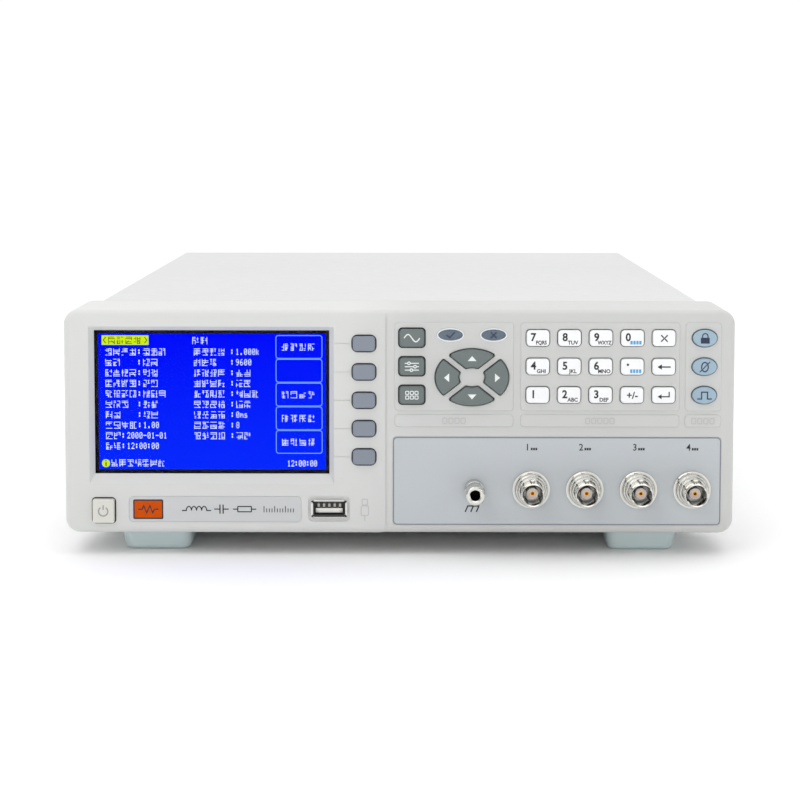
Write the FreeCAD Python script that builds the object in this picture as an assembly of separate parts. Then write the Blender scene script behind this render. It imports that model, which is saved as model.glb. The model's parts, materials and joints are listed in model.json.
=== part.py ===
import FreeCAD, Part
import os
import math

os.makedirs("parts", exist_ok=True)

# Bench LCR meter: moulded front bezel with display and keypads, steel case, rear panel.
# Millimetres. +X right, +Y from the front panel to the rear panel, +Z up. Origin on the bench,
# under the middle of the whole length and width.

# ---------------------------------------------------------------- overall sizes
body_w = 275.2            # width of the front bezel
foot_h = 9.1              # bench to underside of the bezel
body_h = 92.4             # height of the front bezel
body_d = 378.0            # bezel face to rear end of the cover
bezel_d = 45.0            # depth of the bezel moulding
cover_inset = 8.5         # cover side in from the bezel side

# ---------------------------------------------------------------- fits and sheet
key_gap = 0.4             # around a key cap in its aperture
part_gap = 0.1            # beside a piece that drops into a recess
mate_gap = 0.3            # where two large pieces butt
screw_fit = 0.05          # radial, around every screw shank
pivot_fit = 0.08          # radial, around a moving pin
sheet = 1.2               # steel cover and tray
wall = 3.0                # bezel moulding
front_wall = 3.5          # bezel front, at the display side

# ---------------------------------------------------------------- bezel face
bezel_corner_r = 6.0
bezel_edge_r = 3.0
zone_w = 132.0            # raised display zone, from the left side
zone_step = 0.8           # display zone stands this far proud of the key zone
zone_corner_r = 3.0
pad_rise = 0.5            # key group pads above the key zone
pad_r = 1.5
pad_top = 5.0             # pads' upper edge below the bezel top
pad_h = 36.4
strip_gap = 1.5           # groove between pad and label strip
strip_h = 5.2
pad_edge = 5.7            # last pad in from the right side
pad_groove = 2.2          # between two pads
menu_pad_w = 48.8
entry_pad_w = 65.2
side_pad_w = 14.8

# ---------------------------------------------------------------- display
lcd_w, lcd_h = 94.0, 56.8             # active area
lcd_border = 1.3                      # black border seen inside the opening
lcd_cx, lcd_top = 60.6, 9.8           # active centre from the left side, active top below bezel top
recess_d = 2.4
recess_side, recess_up, recess_down = 2.0, 1.7, 4.0
window_t, window_rim = 1.8, 3.0
panel_t, module_rim, module_t = 1.6, 3.0, 4.4
leader_w, leader_d = 0.35, 0.25

# ---------------------------------------------------------------- keys
cap_rise = 1.6            # cap above the surface around it
cap_edge_r = 0.7
flange_t, flange_lip = 1.0, 0.9
stem_w = 3.0
key_travel = 1.0
soft_w, soft_h, soft_r = 10.0, 7.0, 2.0
soft_cx, soft_top, soft_pitch = 123.2, 13.65, 11.7
func_w, func_h, func_r = 11.0, 8.15, 1.9
func_cx = 7.1             # from the menu pad's left edge
func_pitch = 11.7
row_top = 11.3            # first key row below the bezel top
entry_w, entry_h, entry_r = 10.1, 7.35, 1.9
entry_cx, entry_pitch = 7.0, 12.87   # first column from the entry pad's left edge, column pitch
row_pitch = 11.73
oval_w, oval_h = 10.75, 7.75
oval_cx = 7.75            # from the side pad's left edge
nav_w, nav_h = 30.8, 24.1             # outside of the arrow ring
nav_hole_w, nav_hole_h = 10.2, 7.4    # inside of the arrow ring
nav_gap = 2.0                         # slot between neighbouring arrow keys
nav_cx, nav_top = 31.7, 27.55         # centre from the menu pad's left edge and below the bezel top
nav_r = 0.9
lamp_w, lamp_h, lamp_rim_w = 10.1, 4.6, 0.5
lamp_cx = (22.9, 40.5)                # from the menu pad's left edge
lamp_top = 10.1
power_w, power_h, power_r = 9.7, 10.7, 1.2
power_cx, power_cz = 16.1, 9.55       # from the left side and above the bezel underside
power_rise, power_travel = 2.6, 2.0
mains_switch_w, mains_switch_l, mains_switch_h = 9.0, 20.0, 6.0   # height above the button's centre

# ---------------------------------------------------------------- lower left
name_w, name_h, name_r, name_t = 71.0, 10.8, 2.0, 0.5
name_cx, name_cz = 61.9, 10.1
usb_cx, usb_cz = 108.8, 10.25
usb_pocket_w, usb_pocket_h, usb_pocket_r, usb_pocket_d = 17.2, 10.6, 2.2, 0.7
usb_w, usb_h, usb_t = 12.5, 5.12, 0.35     # opening and shell sheet
usb_flare = 0.9
usb_tongue_w, usb_tongue_h, usb_tongue_up = 11.1, 1.84, 0.75
usb_tongue_back = 1.4

# ---------------------------------------------------------------- terminals
plate_edge = 5.45         # terminal plate in from the right side
plate_left = 3.1          # from the zone step
plate_bottom, plate_h = 3.6, 36.5
plate_r, plate_t, plate_sunk = 1.6, 1.5, 1.2
bnc_pitch = 22.03
bnc_last = 17.2           # last connector in from the right side
bnc_cz = 18.4             # above the bezel underside
bnc_reach = 15.0          # in front of the plate
bnc_r, bnc_bore_r = 4.83, 4.05
bnc_nose_l, bnc_neck_r = 4.0, 4.5     # full barrel ahead of the lugs, relieved behind them
bnc_ring_r, bnc_ring_t = 7.7, 0.8
bnc_base_r, bnc_base_t = 6.5, 1.9
bnc_step_r, bnc_step_t = 5.6, 2.2      # second step of the base
bnc_lip = 0.35            # chamfer inside the mouth
bnc_lug_r, bnc_lug_rise, bnc_lug_back = 1.0, 0.75, 5.3
bnc_thread_r, bnc_thread_back = 4.76, 9.0
bnc_nut_r, bnc_nut_t = 7.3, 2.4
bnc_floor = 9.5           # depth of the annular space
bnc_plastic_r, bnc_plastic_back = 2.3, 5.4
bnc_contact_r, bnc_contact_bore, bnc_contact_back = 1.05, 0.65, 5.6
bnc_tail = 6.0
post_cx = 30.9            # ground terminal from the middle of the width
post_reach = 16.0
post_r, post_neck_r, post_nose_r = 4.2, 3.4, 3.95
post_bore_r, post_bore_l, post_bore_lip = 2.0, 14.0, 0.5
post_base_l, post_neck_l = 5.5, 1.5
post_thread_r = 3.0
post_nut_r = 4.9

# ---------------------------------------------------------------- case, rear, inside
lip_h = 9.0               # cover's turned-down rear lip
tray_side_h = 16.0
tray_back_h = 8.0         # tray's turned-up rear edge
rear_t = 2.0
vent_w, vent_h, vent_pitch, vent_count, vent_rows = 2.6, 18.0, 6.0, 12, 2
vent_row_pitch = 24.0
fan_side, fan_t, fan_bore_r, fan_hub_r = 60.0, 25.0, 28.0, 13.0
fan_cx, fan_blades, fan_tip_gap = 88.0, 7, 0.6
grille_slot_h, grille_pitch, grille_rib = 3.0, 5.6, 4.0
inlet_w, inlet_h, inlet_d, inlet_cx = 27.2, 30.0, 24.0, -100.0
inlet_flange, inlet_flange_t = 2.6, 2.0
inlet_mouth_w, inlet_mouth_h, inlet_mouth_d = 22.0, 15.0, 17.0
fuse_w, fuse_h, fuse_d, fuse_pull = 20.0, 6.6, 18.0, 16.0
socket_reach = 6.0        # sockets behind the rear panel
dsub_cz = 40.0
board_t = 1.6
switch_body, switch_h, switch_tip = 6.0, 3.4, 0.9
board_gap = 0.1
main_board_z = 8.0        # standoff height above the tray floor
foot_w, foot_d, foot_r = 29.8, 24.0, 4.0
foot_outer_taper, foot_inner_taper, foot_edge_r = 2.4, 0.8, 2.0
foot_cx, foot_front, foot_rear = 101.5, 12.0, 30.0
leg_w, leg_l, leg_t, leg_pin_r, leg_hub_r, leg_z = 18.0, 34.0, 3.0, 1.5, 2.6, 4.7
lug_t, lug_d = 3.0, 9.5
screw_r, head_r, head_h = 1.5, 2.9, 1.9

# ---------------------------------------------------------------- derived planes
x_left, x_right = -body_w / 2, body_w / 2
z_bot, z_top = foot_h, foot_h + body_h
plate_front = zone_step - plate_t + plate_sunk          # behind the display zone's face
front_reach = post_reach - plate_front
rear_reach = socket_reach - sheet
y_face = -(front_reach + body_d + rear_reach) / 2 + front_reach
y_key = y_face + zone_step                              # key zone surface
y_pad = y_key - pad_rise
y_in = y_face + front_wall                              # inner surface of the bezel front
y_plate = y_face + plate_front
y_rear = y_face + body_d
y_panel = y_rear - sheet - rear_t                       # inner face of the rear panel
cover_x = body_w / 2 - cover_inset
tray_x = cover_x - sheet - part_gap
mouth_x = tray_x + mate_gap
floor_z = z_bot + wall                                  # underside of the tray
tray_z = floor_z + sheet                                # upper face of the tray floor
flange_y = y_in + part_gap
stem_end = flange_y + flange_t + 3.4
y_board = stem_end + key_travel + board_gap + switch_tip + switch_h
zone_x = x_left + zone_w
menu_x = zone_x + 3.7
entry_x = x_right - pad_edge - side_pad_w - pad_groove - entry_pad_w
side_x = x_right - pad_edge - side_pad_w
pad_z = z_top - pad_top
strip_z = pad_z - pad_h - strip_gap
row_z = [z_top - row_top - row_pitch * i for i in range(3)]
soft_z = [z_top - soft_top - soft_pitch * i for i in range(5)]
lcd_x, lcd_z = x_left + lcd_cx, z_top - lcd_top - lcd_h / 2
bnc_z = z_bot + bnc_cz
bnc_x = [x_right - bnc_last - bnc_pitch * i for i in range(4)]

V = FreeCAD.Vector
made = {}


# ---------------------------------------------------------------- shape helpers
def box(x0, x1, y0, y1, z0, z1):
    return Part.makeBox(x1 - x0, y1 - y0, z1 - z0, V(x0, y0, z0))


def rod(x, z, r, y0, y1):
    return Part.makeCylinder(r, y1 - y0, V(x, y0, z), V(0, 1, 0))


def post(x, y, r, z0, z1):
    return Part.makeCylinder(r, z1 - z0, V(x, y, z0), V(0, 0, 1))


def slab(cx, cz, w, h, r, y0, y1):
    """Block along Y with rounded corners."""
    b = box(cx - w / 2, cx + w / 2, y0, y1, cz - h / 2, cz + h / 2)
    return b.makeFillet(r, edges_along(b, V(0, 1, 0)))


def ellipse(cx, cz, w, h, y0, y1):
    """Elliptical block along Y."""
    e = Part.Ellipse(V(0, 0, 0), w / 2, h / 2)
    s = Part.Face(Part.Wire(e.toShape())).extrude(V(0, 0, y1 - y0))
    s.rotate(V(0, 0, 0), V(1, 0, 0), 90)
    s.translate(V(cx, y1, cz))
    return s


def edges_along(shape, axis):
    out = []
    for e in shape.Edges:
        if len(e.Vertexes) == 2:
            d = e.Vertexes[1].Point.sub(e.Vertexes[0].Point)
            if d.Length > 0 and d.normalize().cross(axis).Length < 1e-6:
                out.append(e)
    return out


def edges_at(shape, y):
    """Edges that lie wholly in the plane Y = y."""
    return [e for e in shape.Edges
            if abs(e.BoundBox.YMin - y) < 1e-6 and abs(e.BoundBox.YMax - y) < 1e-6]


def frame_wire(cx, cz, w, h, y):
    pts = [V(cx - w / 2, y, cz - h / 2), V(cx + w / 2, y, cz - h / 2),
           V(cx + w / 2, y, cz + h / 2), V(cx - w / 2, y, cz + h / 2)]
    return Part.makePolygon(pts + pts[:1])


def join(parts):
    s = parts[0]
    return s.fuse(parts[1:]).removeSplitter() if len(parts) > 1 else s


def softened(shape, r, y):
    return shape.makeFillet(r, edges_at(shape, y))


def node(name, *shapes):
    made[name] = list(shapes)


# ---------------------------------------------------------------- keys
def key_cap(outline, grown, cx, cz, rise_from, rise=cap_rise, end=stem_end, stem=stem_w):
    """Cap through its aperture, retaining flange behind the wall, stem towards the switch."""
    tip = rise_from - rise
    cap = softened(outline(tip, flange_y + flange_t / 2), cap_edge_r, tip)
    flange = grown(flange_y, flange_y + flange_t)
    pin = box(cx - stem / 2, cx + stem / 2, flange_y + flange_t / 2, end, cz - stem / 2, cz + stem / 2)
    return join([cap, flange, pin])


def square_key(cx, cz, w, h, r, rise_from, **more):
    g, f = 2 * key_gap, 2 * flange_lip
    return key_cap(lambda a, b: slab(cx, cz, w - g, h - g, r - key_gap, a, b),
                   lambda a, b: slab(cx, cz, w + f, h + f, r, a, b), cx, cz, rise_from, **more)


def oval_key(cx, cz, w, h, rise_from):
    g, f = 2 * key_gap, 2 * flange_lip
    return key_cap(lambda a, b: ellipse(cx, cz, w - g, h - g, a, b),
                   lambda a, b: ellipse(cx, cz, w + f, h + f, a, b), cx, cz, rise_from)


def arrow_outline(angle, grow, y0, y1, r):
    """One quarter of the arrow ring: an elliptical ring less the two diagonal slots beside it."""
    slope = math.degrees(math.atan2(nav_h, nav_w))
    ring = ellipse(0, 0, nav_w + 2 * grow, nav_h + 2 * grow, y0, y1).cut(
        ellipse(0, 0, nav_hole_w - 2 * grow, nav_hole_h - 2 * grow, y0, y1))
    half = nav_gap / 2 - grow
    reach = nav_w
    up = math.radians(angle)
    lo, hi = (up - math.radians(slope), up + math.radians(slope)) if angle % 180 == 0 else (
        up - math.radians(90 - slope), up + math.radians(90 - slope))
    mid = V(math.cos(up), 0, math.sin(up))
    start = mid * (half / math.sin((hi - lo) / 2))
    pts = [start, start + V(math.cos(lo), 0, math.sin(lo)) * reach,
           start + V(math.cos(hi), 0, math.sin(hi)) * reach]
    wedge = Part.Face(Part.makePolygon(pts + pts[:1])).extrude(V(0, y1 - y0, 0))
    wedge.translate(V(0, y0, 0))
    s = ring.common(wedge)
    s = s.makeFillet(r, edges_along(s, V(0, 1, 0)))
    s.translate(V(menu_x + nav_cx, 0, z_top - nav_top))
    return s


def arrow_key(angle):
    r = nav_w / 3 if angle % 180 == 0 else nav_h / 3
    cx = menu_x + nav_cx + r * round(math.cos(math.radians(angle)))
    cz = z_top - nav_top + r * round(math.sin(math.radians(angle)))
    return key_cap(lambda a, b: arrow_outline(angle, -key_gap, a, b, nav_r),
                   lambda a, b: arrow_outline(angle, flange_lip / 2, a, b, nav_r / 2),
                   cx, cz, y_pad)


apertures, switches = [], []


def place(name, cx, cz, key, aperture):
    node(name, key)
    apertures.append(aperture)
    switches.append((cx, cz))


soft_x = x_left + soft_cx
through = (y_face - cap_rise, y_in + part_gap)
for i, z in enumerate(soft_z):
    place(f"softkey_{i + 1}", soft_x, z, square_key(soft_x, z, soft_w, soft_h, soft_r, y_face),
          slab(soft_x, z, soft_w, soft_h, soft_r, *through))
for name, z in zip(("measure_key", "setup_key", "system_key"), row_z):
    x = menu_x + func_cx
    place(name, x, z, square_key(x, z, func_w, func_h, func_r, y_pad),
          slab(x, z, func_w, func_h, func_r, *through))
entry_names = (("key_7", "key_8", "key_9", "key_0", "cancel_key"),
               ("key_4", "key_5", "key_6", "key_point", "back_key"),
               ("key_1", "key_2", "key_3", "key_sign", "enter_key"))
for names, z in zip(entry_names, row_z):
    for i, name in enumerate(names):
        x = entry_x + entry_cx + entry_pitch * i
        place(name, x, z, square_key(x, z, entry_w, entry_h, entry_r, y_pad),
              slab(x, z, entry_w, entry_h, entry_r, *through))
for name, z in zip(("lock_key", "zero_key", "trigger_key"), row_z):
    x = side_x + oval_cx
    place(name, x, z, oval_key(x, z, oval_w, oval_h, y_pad), ellipse(x, z, oval_w, oval_h, *through))
for name, angle in (("arrow_right_key", 0), ("arrow_up_key", 90), ("arrow_left_key", 180), ("arrow_down_key", 270)):
    key = arrow_key(angle)
    stem = [v.Point for v in key.Vertexes if abs(v.Y - stem_end) < 1e-6]
    place(name, sum(p.x for p in stem) / len(stem), sum(p.z for p in stem) / len(stem), key,
          arrow_outline(angle, 0, *through, nav_r))

power_x, power_z = x_left + power_cx, z_bot + power_cz
power_end = y_in + 16.0
node("power_button", square_key(power_x, power_z, power_w, power_h, power_r, y_face,
                                rise=power_rise, end=power_end, stem=4.0))
apertures.append(slab(power_x, power_z, power_w, power_h, power_r, y_face - power_rise, through[1]))

# ---------------------------------------------------------------- front bezel
cz_body = (z_bot + z_top) / 2


def bezel_block(y0, y1):
    return softened(slab(0, cz_body, body_w, body_h, bezel_corner_r, y0, y1), bezel_edge_r, y0)


zone_block = bezel_block(y_face, y_face + bezel_d).common(
    slab(zone_x - body_w / 2, cz_body, body_w, body_h, zone_corner_r, y_face, y_face + bezel_d))
bezel = join([bezel_block(y_key, y_face + bezel_d), zone_block])
bezel = bezel.cut(slab(0, cz_body, body_w - 2 * wall, body_h - 2 * wall, bezel_corner_r - wall,
                       y_in, y_face + bezel_d - wall))
bezel = bezel.cut(box(-mouth_x, mouth_x, y_in, y_face + bezel_d + 1, floor_z, z_top - wall))

pads = []
for x, w in ((menu_x, menu_pad_w), (entry_x, entry_pad_w), (side_x, side_pad_w)):
    for top, h in ((pad_z, pad_h), (strip_z, strip_h)):
        p = slab(x + w / 2, top - h / 2, w, h, pad_r, y_pad, y_key + wall / 2)
        pads.append(p.makeChamfer(pad_rise * 0.6, edges_at(p, y_pad)))
bezel = bezel.fuse(pads)

open_w, open_h = lcd_w + 2 * lcd_border, lcd_h + 2 * lcd_border
outer_z = lcd_z + (recess_up - recess_down) / 2
recess = Part.makeLoft([
    frame_wire(lcd_x, outer_z, open_w + 2 * recess_side, open_h + recess_up + recess_down, y_face),
    frame_wire(lcd_x, lcd_z, open_w, open_h, y_face + recess_d)], True, True)
cuts = [recess, box(lcd_x - open_w / 2, lcd_x + open_w / 2, y_face, y_in + 1,
                    lcd_z - open_h / 2, lcd_z + open_h / 2)]
for z in soft_z:
    cuts.append(box(lcd_x + open_w / 2 + recess_side, soft_x - soft_w / 2, y_face, y_face + leader_d,
                    z - leader_w / 2, z + leader_w / 2))
name_x, name_z = x_left + name_cx, z_bot + name_cz
cuts.append(slab(name_x, name_z, name_w, name_h, name_r, y_face, y_face + name_t))
usb_x, usb_z = x_left + usb_cx, z_bot + usb_cz
usb_out_w, usb_out_h = usb_w + 2 * usb_t, usb_h + 2 * usb_t
cuts.append(slab(usb_x, usb_z, usb_pocket_w, usb_pocket_h, usb_pocket_r, y_face, y_face + usb_pocket_d))
cuts.append(box(usb_x - usb_out_w / 2 - part_gap, usb_x + usb_out_w / 2 + part_gap, y_face, y_in + 1,
                usb_z - usb_out_h / 2 - part_gap, usb_z + usb_out_h / 2 + part_gap))
plate_w = x_right - plate_edge - zone_x - plate_left
plate_x, plate_z = x_right - plate_edge - plate_w / 2, z_bot + plate_bottom + plate_h / 2
cuts.append(slab(plate_x, plate_z, plate_w + 2 * part_gap, plate_h + 2 * part_gap, plate_r,
                 y_face - 1, y_plate + plate_t))
for x in bnc_x:
    cuts.append(rod(x, bnc_z, bnc_thread_r + screw_fit, y_face, y_in + 1))
cuts.append(rod(post_cx, bnc_z, post_thread_r + screw_fit, y_face, y_in + 1))
lamps = [(menu_x + x, z_top - lamp_top) for x in lamp_cx]
rim_w, rim_h = lamp_w + 2 * lamp_rim_w, lamp_h + 2 * lamp_rim_w
for x, z in lamps:
    cuts.append(ellipse(x, z, rim_w + part_gap, rim_h + part_gap, y_face, y_in + 1))
bezel = bezel.cut(cuts + apertures)

# posts inside the bezel that carry the key board and the display
board_x0, board_x1 = x_left + 99.0, x_right - 5.5
board_top, board_split = z_top - wall - 0.3, z_top - 48.5
board_bot = z_bot + 4.5
usb_top = usb_z + usb_out_h / 2 + part_gap
boss_r = 2.5
post_top = z_top - wall - head_r - mate_gap
post_low = board_split + boss_r + 1.0
board_posts = [(menu_x + func_cx + 9.2, post_low), (entry_x - 1.3, post_top), (entry_x - 1.3, post_low),
               (side_x - 0.1, post_low), (side_x - 0.1, post_top), (soft_x - 12.0, usb_top + boss_r + 1.0)]
module_w, module_h = open_w + 2 * module_rim, open_h + 2 * module_rim
y_module = y_in + 0.6
module_back = y_module + module_t
ear = 6.0
module_posts = [(lcd_x - module_w / 2 + s, lcd_z + t * (module_h / 2 - 12)) for s in (-ear / 2,)
                for t in (-1, 1)]
module_posts += [(lcd_x + t * module_w / 3, lcd_z - module_h / 2 - ear / 2) for t in (-1, 1)]
for x, z in board_posts:
    bezel = bezel.fuse(rod(x, z, boss_r, y_in - 0.5, y_board))
for x, z in module_posts:
    bezel = bezel.fuse(rod(x, z, boss_r, y_in - 0.5, module_back - board_t))
feet_pos = [(sx * foot_cx, y_face + foot_front + foot_d / 2) for sx in (-1, 1)]
rear_feet_pos = [(sx * foot_cx, y_rear - foot_rear - foot_d / 2) for sx in (-1, 1)]
bezel = bezel.removeSplitter()

# ---------------------------------------------------------------- display
pane_w, pane_h = open_w - 2 * part_gap, open_h - 2 * part_gap
pane = join([box(lcd_x - pane_w / 2, lcd_x + pane_w / 2, y_in - window_t + 0.6, y_in + 0.3,
                 lcd_z - pane_h / 2, lcd_z + pane_h / 2),
             box(lcd_x - pane_w / 2 - window_rim, lcd_x + pane_w / 2 + window_rim, y_in, y_in + 0.5,
                 lcd_z - pane_h / 2 - window_rim, lcd_z + pane_h / 2 + window_rim)])
node("display_window", pane)
glass_w, glass_h = open_w + 2, open_h + 2
glass = box(lcd_x - glass_w / 2, lcd_x + glass_w / 2, y_module, y_module + panel_t,
            lcd_z - glass_h / 2, lcd_z + glass_h / 2)
shell = [box(lcd_x - module_w / 2, lcd_x + module_w / 2, y_module, module_back,
             lcd_z - module_h / 2, lcd_z + module_h / 2)]
for x, z in module_posts:
    side = x < lcd_x - module_w / 2
    shell.append(box(x - (ear if not side else ear / 2), x + (ear if not side else ear / 2 + 1),
                     module_back - board_t, module_back,
                     z - (ear / 2 if not side else ear), z + (ear / 2 + 1 if not side else ear)))
node("lcd_module", glass, join(shell).cut(glass))

# ---------------------------------------------------------------- plates on the face
node("name_plate", slab(name_x, name_z, name_w - 2 * part_gap, name_h - 2 * part_gap, name_r - part_gap,
                        y_face + 0.1, y_face + name_t))
plate = slab(plate_x, plate_z, plate_w, plate_h, plate_r, y_plate, y_plate + plate_t)
for x in bnc_x:
    plate = plate.cut(rod(x, bnc_z, bnc_thread_r + screw_fit, y_plate, y_in))
plate = plate.cut(rod(post_cx, bnc_z, post_thread_r + screw_fit, y_plate, y_in))
node("terminal_plate", plate)

lens, rims = [], []
for x, z in lamps:
    face = y_pad - 0.5
    rim = ellipse(x, z, rim_w, rim_h, face, y_in).cut(
        ellipse(x, z, lamp_w, lamp_h, face, y_in))
    rims.append(rim)
    body = ellipse(x, z, lamp_w - part_gap, lamp_h - part_gap, face - 0.4, y_in + 2.0)
    lens.append(softened(body, 0.4, face - 0.4))
node("indicator_lenses", *lens)
node("indicator_rims", *rims)

# ---------------------------------------------------------------- four coaxial test terminals
bodies, plastics, contacts, nuts = [], [], [], []
tip = y_plate - bnc_reach
base_y = y_plate - bnc_ring_t - bnc_base_t
for x in bnc_x:
    barrel = [rod(x, bnc_z, bnc_ring_r, y_plate - bnc_ring_t, y_plate),
              rod(x, bnc_z, bnc_base_r, base_y, y_plate - bnc_ring_t),
              rod(x, bnc_z, bnc_step_r, base_y - bnc_step_t, base_y),
              rod(x, bnc_z, bnc_r, tip, tip + bnc_nose_l),
              rod(x, bnc_z, bnc_neck_r, tip, y_plate - bnc_ring_t),
              rod(x, bnc_z, bnc_thread_r, y_plate - bnc_ring_t, y_plate + bnc_thread_back),
              Part.makeCylinder(bnc_lug_r, 2 * (bnc_r + bnc_lug_rise),
                                V(x, tip + bnc_lug_back, bnc_z - bnc_r - bnc_lug_rise), V(0, 0, 1))]
    body = join(barrel)
    for y, r in ((base_y, bnc_base_r), (base_y - bnc_step_t, bnc_step_r)):
        body = body.makeFillet(0.6, [e for e in edges_at(body, y) if e.BoundBox.XLength > 2 * r - 0.1])
    body = body.makeChamfer(0.3, edges_at(body, tip))
    body = body.cut(rod(x, bnc_z, bnc_bore_r, tip, tip + bnc_floor))
    body = body.makeChamfer(bnc_lip, [e for e in edges_at(body, tip)
                                      if e.BoundBox.XLength < 2 * bnc_bore_r + 0.1])
    body = body.cut(rod(x, bnc_z, bnc_plastic_r, tip, y_plate + bnc_thread_back))
    bodies.append(body)
    sleeve = rod(x, bnc_z, bnc_plastic_r, tip + bnc_plastic_back, y_plate + bnc_thread_back + 1.0)
    pin = join([rod(x, bnc_z, bnc_contact_r, tip + bnc_contact_back, y_plate + bnc_thread_back + bnc_tail),
                ]).cut(rod(x, bnc_z, bnc_contact_bore, tip, y_plate))
    plastics.append(sleeve.cut(rod(x, bnc_z, bnc_contact_r, tip, y_plate + bnc_thread_back + bnc_tail)))
    contacts.append(pin)
    nut = Part.Face(Part.makePolygon([V(x + bnc_nut_r * math.cos(math.radians(60 * k)), y_in,
                                        bnc_z + bnc_nut_r * math.sin(math.radians(60 * k)))
                                      for k in range(7)])).extrude(V(0, bnc_nut_t, 0))
    nuts.append(nut.cut(rod(x, bnc_z, bnc_thread_r + screw_fit, y_in, y_in + bnc_nut_t)))
node("bnc_bodies", *bodies)
node("bnc_insulators", *plastics)
node("bnc_contacts", *contacts)

# ---------------------------------------------------------------- ground terminal
ground_tip = y_plate - post_reach
base_front = y_plate - post_base_l
neck_front = base_front - post_neck_l
ground = join([rod(post_cx, bnc_z, post_r, base_front, y_plate),
               rod(post_cx, bnc_z, post_neck_r, neck_front, base_front),
               rod(post_cx, bnc_z, post_nose_r, ground_tip, neck_front),
               rod(post_cx, bnc_z, post_thread_r, y_plate, y_plate + bnc_thread_back)])
ground = ground.makeFillet(0.7, edges_at(ground, ground_tip))
ground = ground.makeFillet(0.4, [e for e in edges_at(ground, neck_front) + edges_at(ground, base_front)
                                 if e.BoundBox.XLength > 2 * post_neck_r + 0.1])
ground = ground.cut(rod(post_cx, bnc_z, post_bore_r, ground_tip, ground_tip + post_bore_l))
ground = ground.makeChamfer(post_bore_lip, [e for e in edges_at(ground, ground_tip)
                                            if e.BoundBox.XLength < 2 * post_bore_r + 0.1])
node("ground_post", ground)
nut = Part.Face(Part.makePolygon([V(post_cx + post_nut_r * math.cos(math.radians(60 * k)), y_in,
                                    bnc_z + post_nut_r * math.sin(math.radians(60 * k)))
                                  for k in range(7)])).extrude(V(0, bnc_nut_t, 0))
nuts.append(nut.cut(rod(post_cx, bnc_z, post_thread_r + screw_fit, y_in, y_in + bnc_nut_t)))
node("terminal_nuts", *nuts)

# ---------------------------------------------------------------- USB socket
usb_front = y_face + usb_pocket_d - 0.3
shell = box(usb_x - usb_out_w / 2, usb_x + usb_out_w / 2, usb_front, y_board,
            usb_z - usb_out_h / 2, usb_z + usb_out_h / 2)
shell = shell.cut(box(usb_x - usb_w / 2, usb_x + usb_w / 2, usb_front, y_board - usb_t,
                      usb_z - usb_h / 2, usb_z + usb_h / 2))
flares = Part.makeLoft([frame_wire(usb_x, usb_z, usb_out_w + 2 * usb_flare, usb_out_h + 2 * usb_flare,
                                   usb_front - 0.4),
                        frame_wire(usb_x, usb_z, usb_out_w, usb_out_h, usb_front)], True, True).cut(
    Part.makeLoft([frame_wire(usb_x, usb_z, usb_w + 2 * usb_flare, usb_h + 2 * usb_flare, usb_front - 0.4),
                   frame_wire(usb_x, usb_z, usb_w, usb_h, usb_front)], True, True))
notch = usb_flare + usb_t
for sx in (-1, 1):
    for sz in (-1, 1):
        cx, cz = usb_x + sx * (usb_w / 2 + notch / 2), usb_z + sz * (usb_h / 2 + notch / 2)
        flares = flares.cut(box(cx - notch / 2, cx + notch / 2, usb_front - 1, usb_front,
                                cz - notch / 2, cz + notch / 2))
tongue_z = usb_z - usb_h / 2 + usb_tongue_up
tongue = box(usb_x - usb_tongue_w / 2, usb_x + usb_tongue_w / 2, usb_front + usb_tongue_back,
             y_board - usb_t, tongue_z, tongue_z + usb_tongue_h)
node("usb_socket", join([shell, flares]), tongue)

# ---------------------------------------------------------------- key board with its switches
board = box(board_x0, board_x1, y_board, y_board + board_t, board_split, board_top).fuse(
    box(board_x0, zone_x, y_board, y_board + board_t, board_bot, board_top)).removeSplitter()
parts = [board]
for x, z in switches:
    h = switch_body / 2
    parts.append(box(x - h, x + h, y_board - switch_h, y_board, z - h, z + h).fuse(
        rod(x, z, 1.6, y_board - switch_h - switch_tip, y_board - switch_h)))
node("key_board", *parts)

# ---------------------------------------------------------------- mains switch behind the power button
switch_front = power_end + power_travel + board_gap
switch_left = max(power_x - mains_switch_w / 2, sheet - tray_x + part_gap)      # clear of the tray's side
node("power_switch", join([
    box(power_x - 2, power_x + 2, switch_front, switch_front + 3, power_z - 2, power_z + 2),
    box(switch_left, power_x + mains_switch_w / 2, switch_front + 2,
        switch_front + 2 + mains_switch_l, tray_z, power_z + mains_switch_h)]))

# ---------------------------------------------------------------- case
cover_front = y_face + bezel_d + mate_gap
outer = box(-cover_x, cover_x, cover_front, y_rear, floor_z, z_top)
top_edges = [e for e in edges_along(outer, V(0, 1, 0)) if e.BoundBox.ZMin > z_top - 1]
outer = outer.makeFillet(2.2, top_edges)
inner = box(-cover_x + sheet, cover_x - sheet, cover_front - 1, y_rear - sheet, floor_z - 1, z_top - sheet)
top_inner = [e for e in edges_along(inner, V(0, 1, 0)) if e.BoundBox.ZMin > z_top - sheet - 1]
cover = outer.cut(inner.makeFillet(1.0, top_inner))
cover = cover.cut(box(-cover_x + sheet, cover_x - sheet, y_rear - sheet - 1, y_rear + 1,
                      floor_z - 1, z_top - lip_h))
slots = []
for row in range(vent_rows):
    for i in range(vent_count):
        y = y_rear - 60.0 - vent_pitch * i
        z = tray_z + 30.0 + vent_row_pitch * row
        slots.append(box(-cover_x - 1, cover_x + 1, y - vent_w / 2, y + vent_w / 2, z, z + vent_h))
cover = cover.cut(slots)

tray_front = y_face + 21.0
tray = join([box(-tray_x, tray_x, tray_front, y_panel, floor_z, tray_z)] +
            [box(sx * tray_x - (sheet if sx > 0 else 0), sx * tray_x + (sheet if sx < 0 else 0),
                 tray_front, y_panel, floor_z, floor_z + tray_side_h) for sx in (-1, 1)] +
            [box(-tray_x, tray_x, y_panel - sheet, y_panel, floor_z, floor_z + tray_back_h)])

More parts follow.
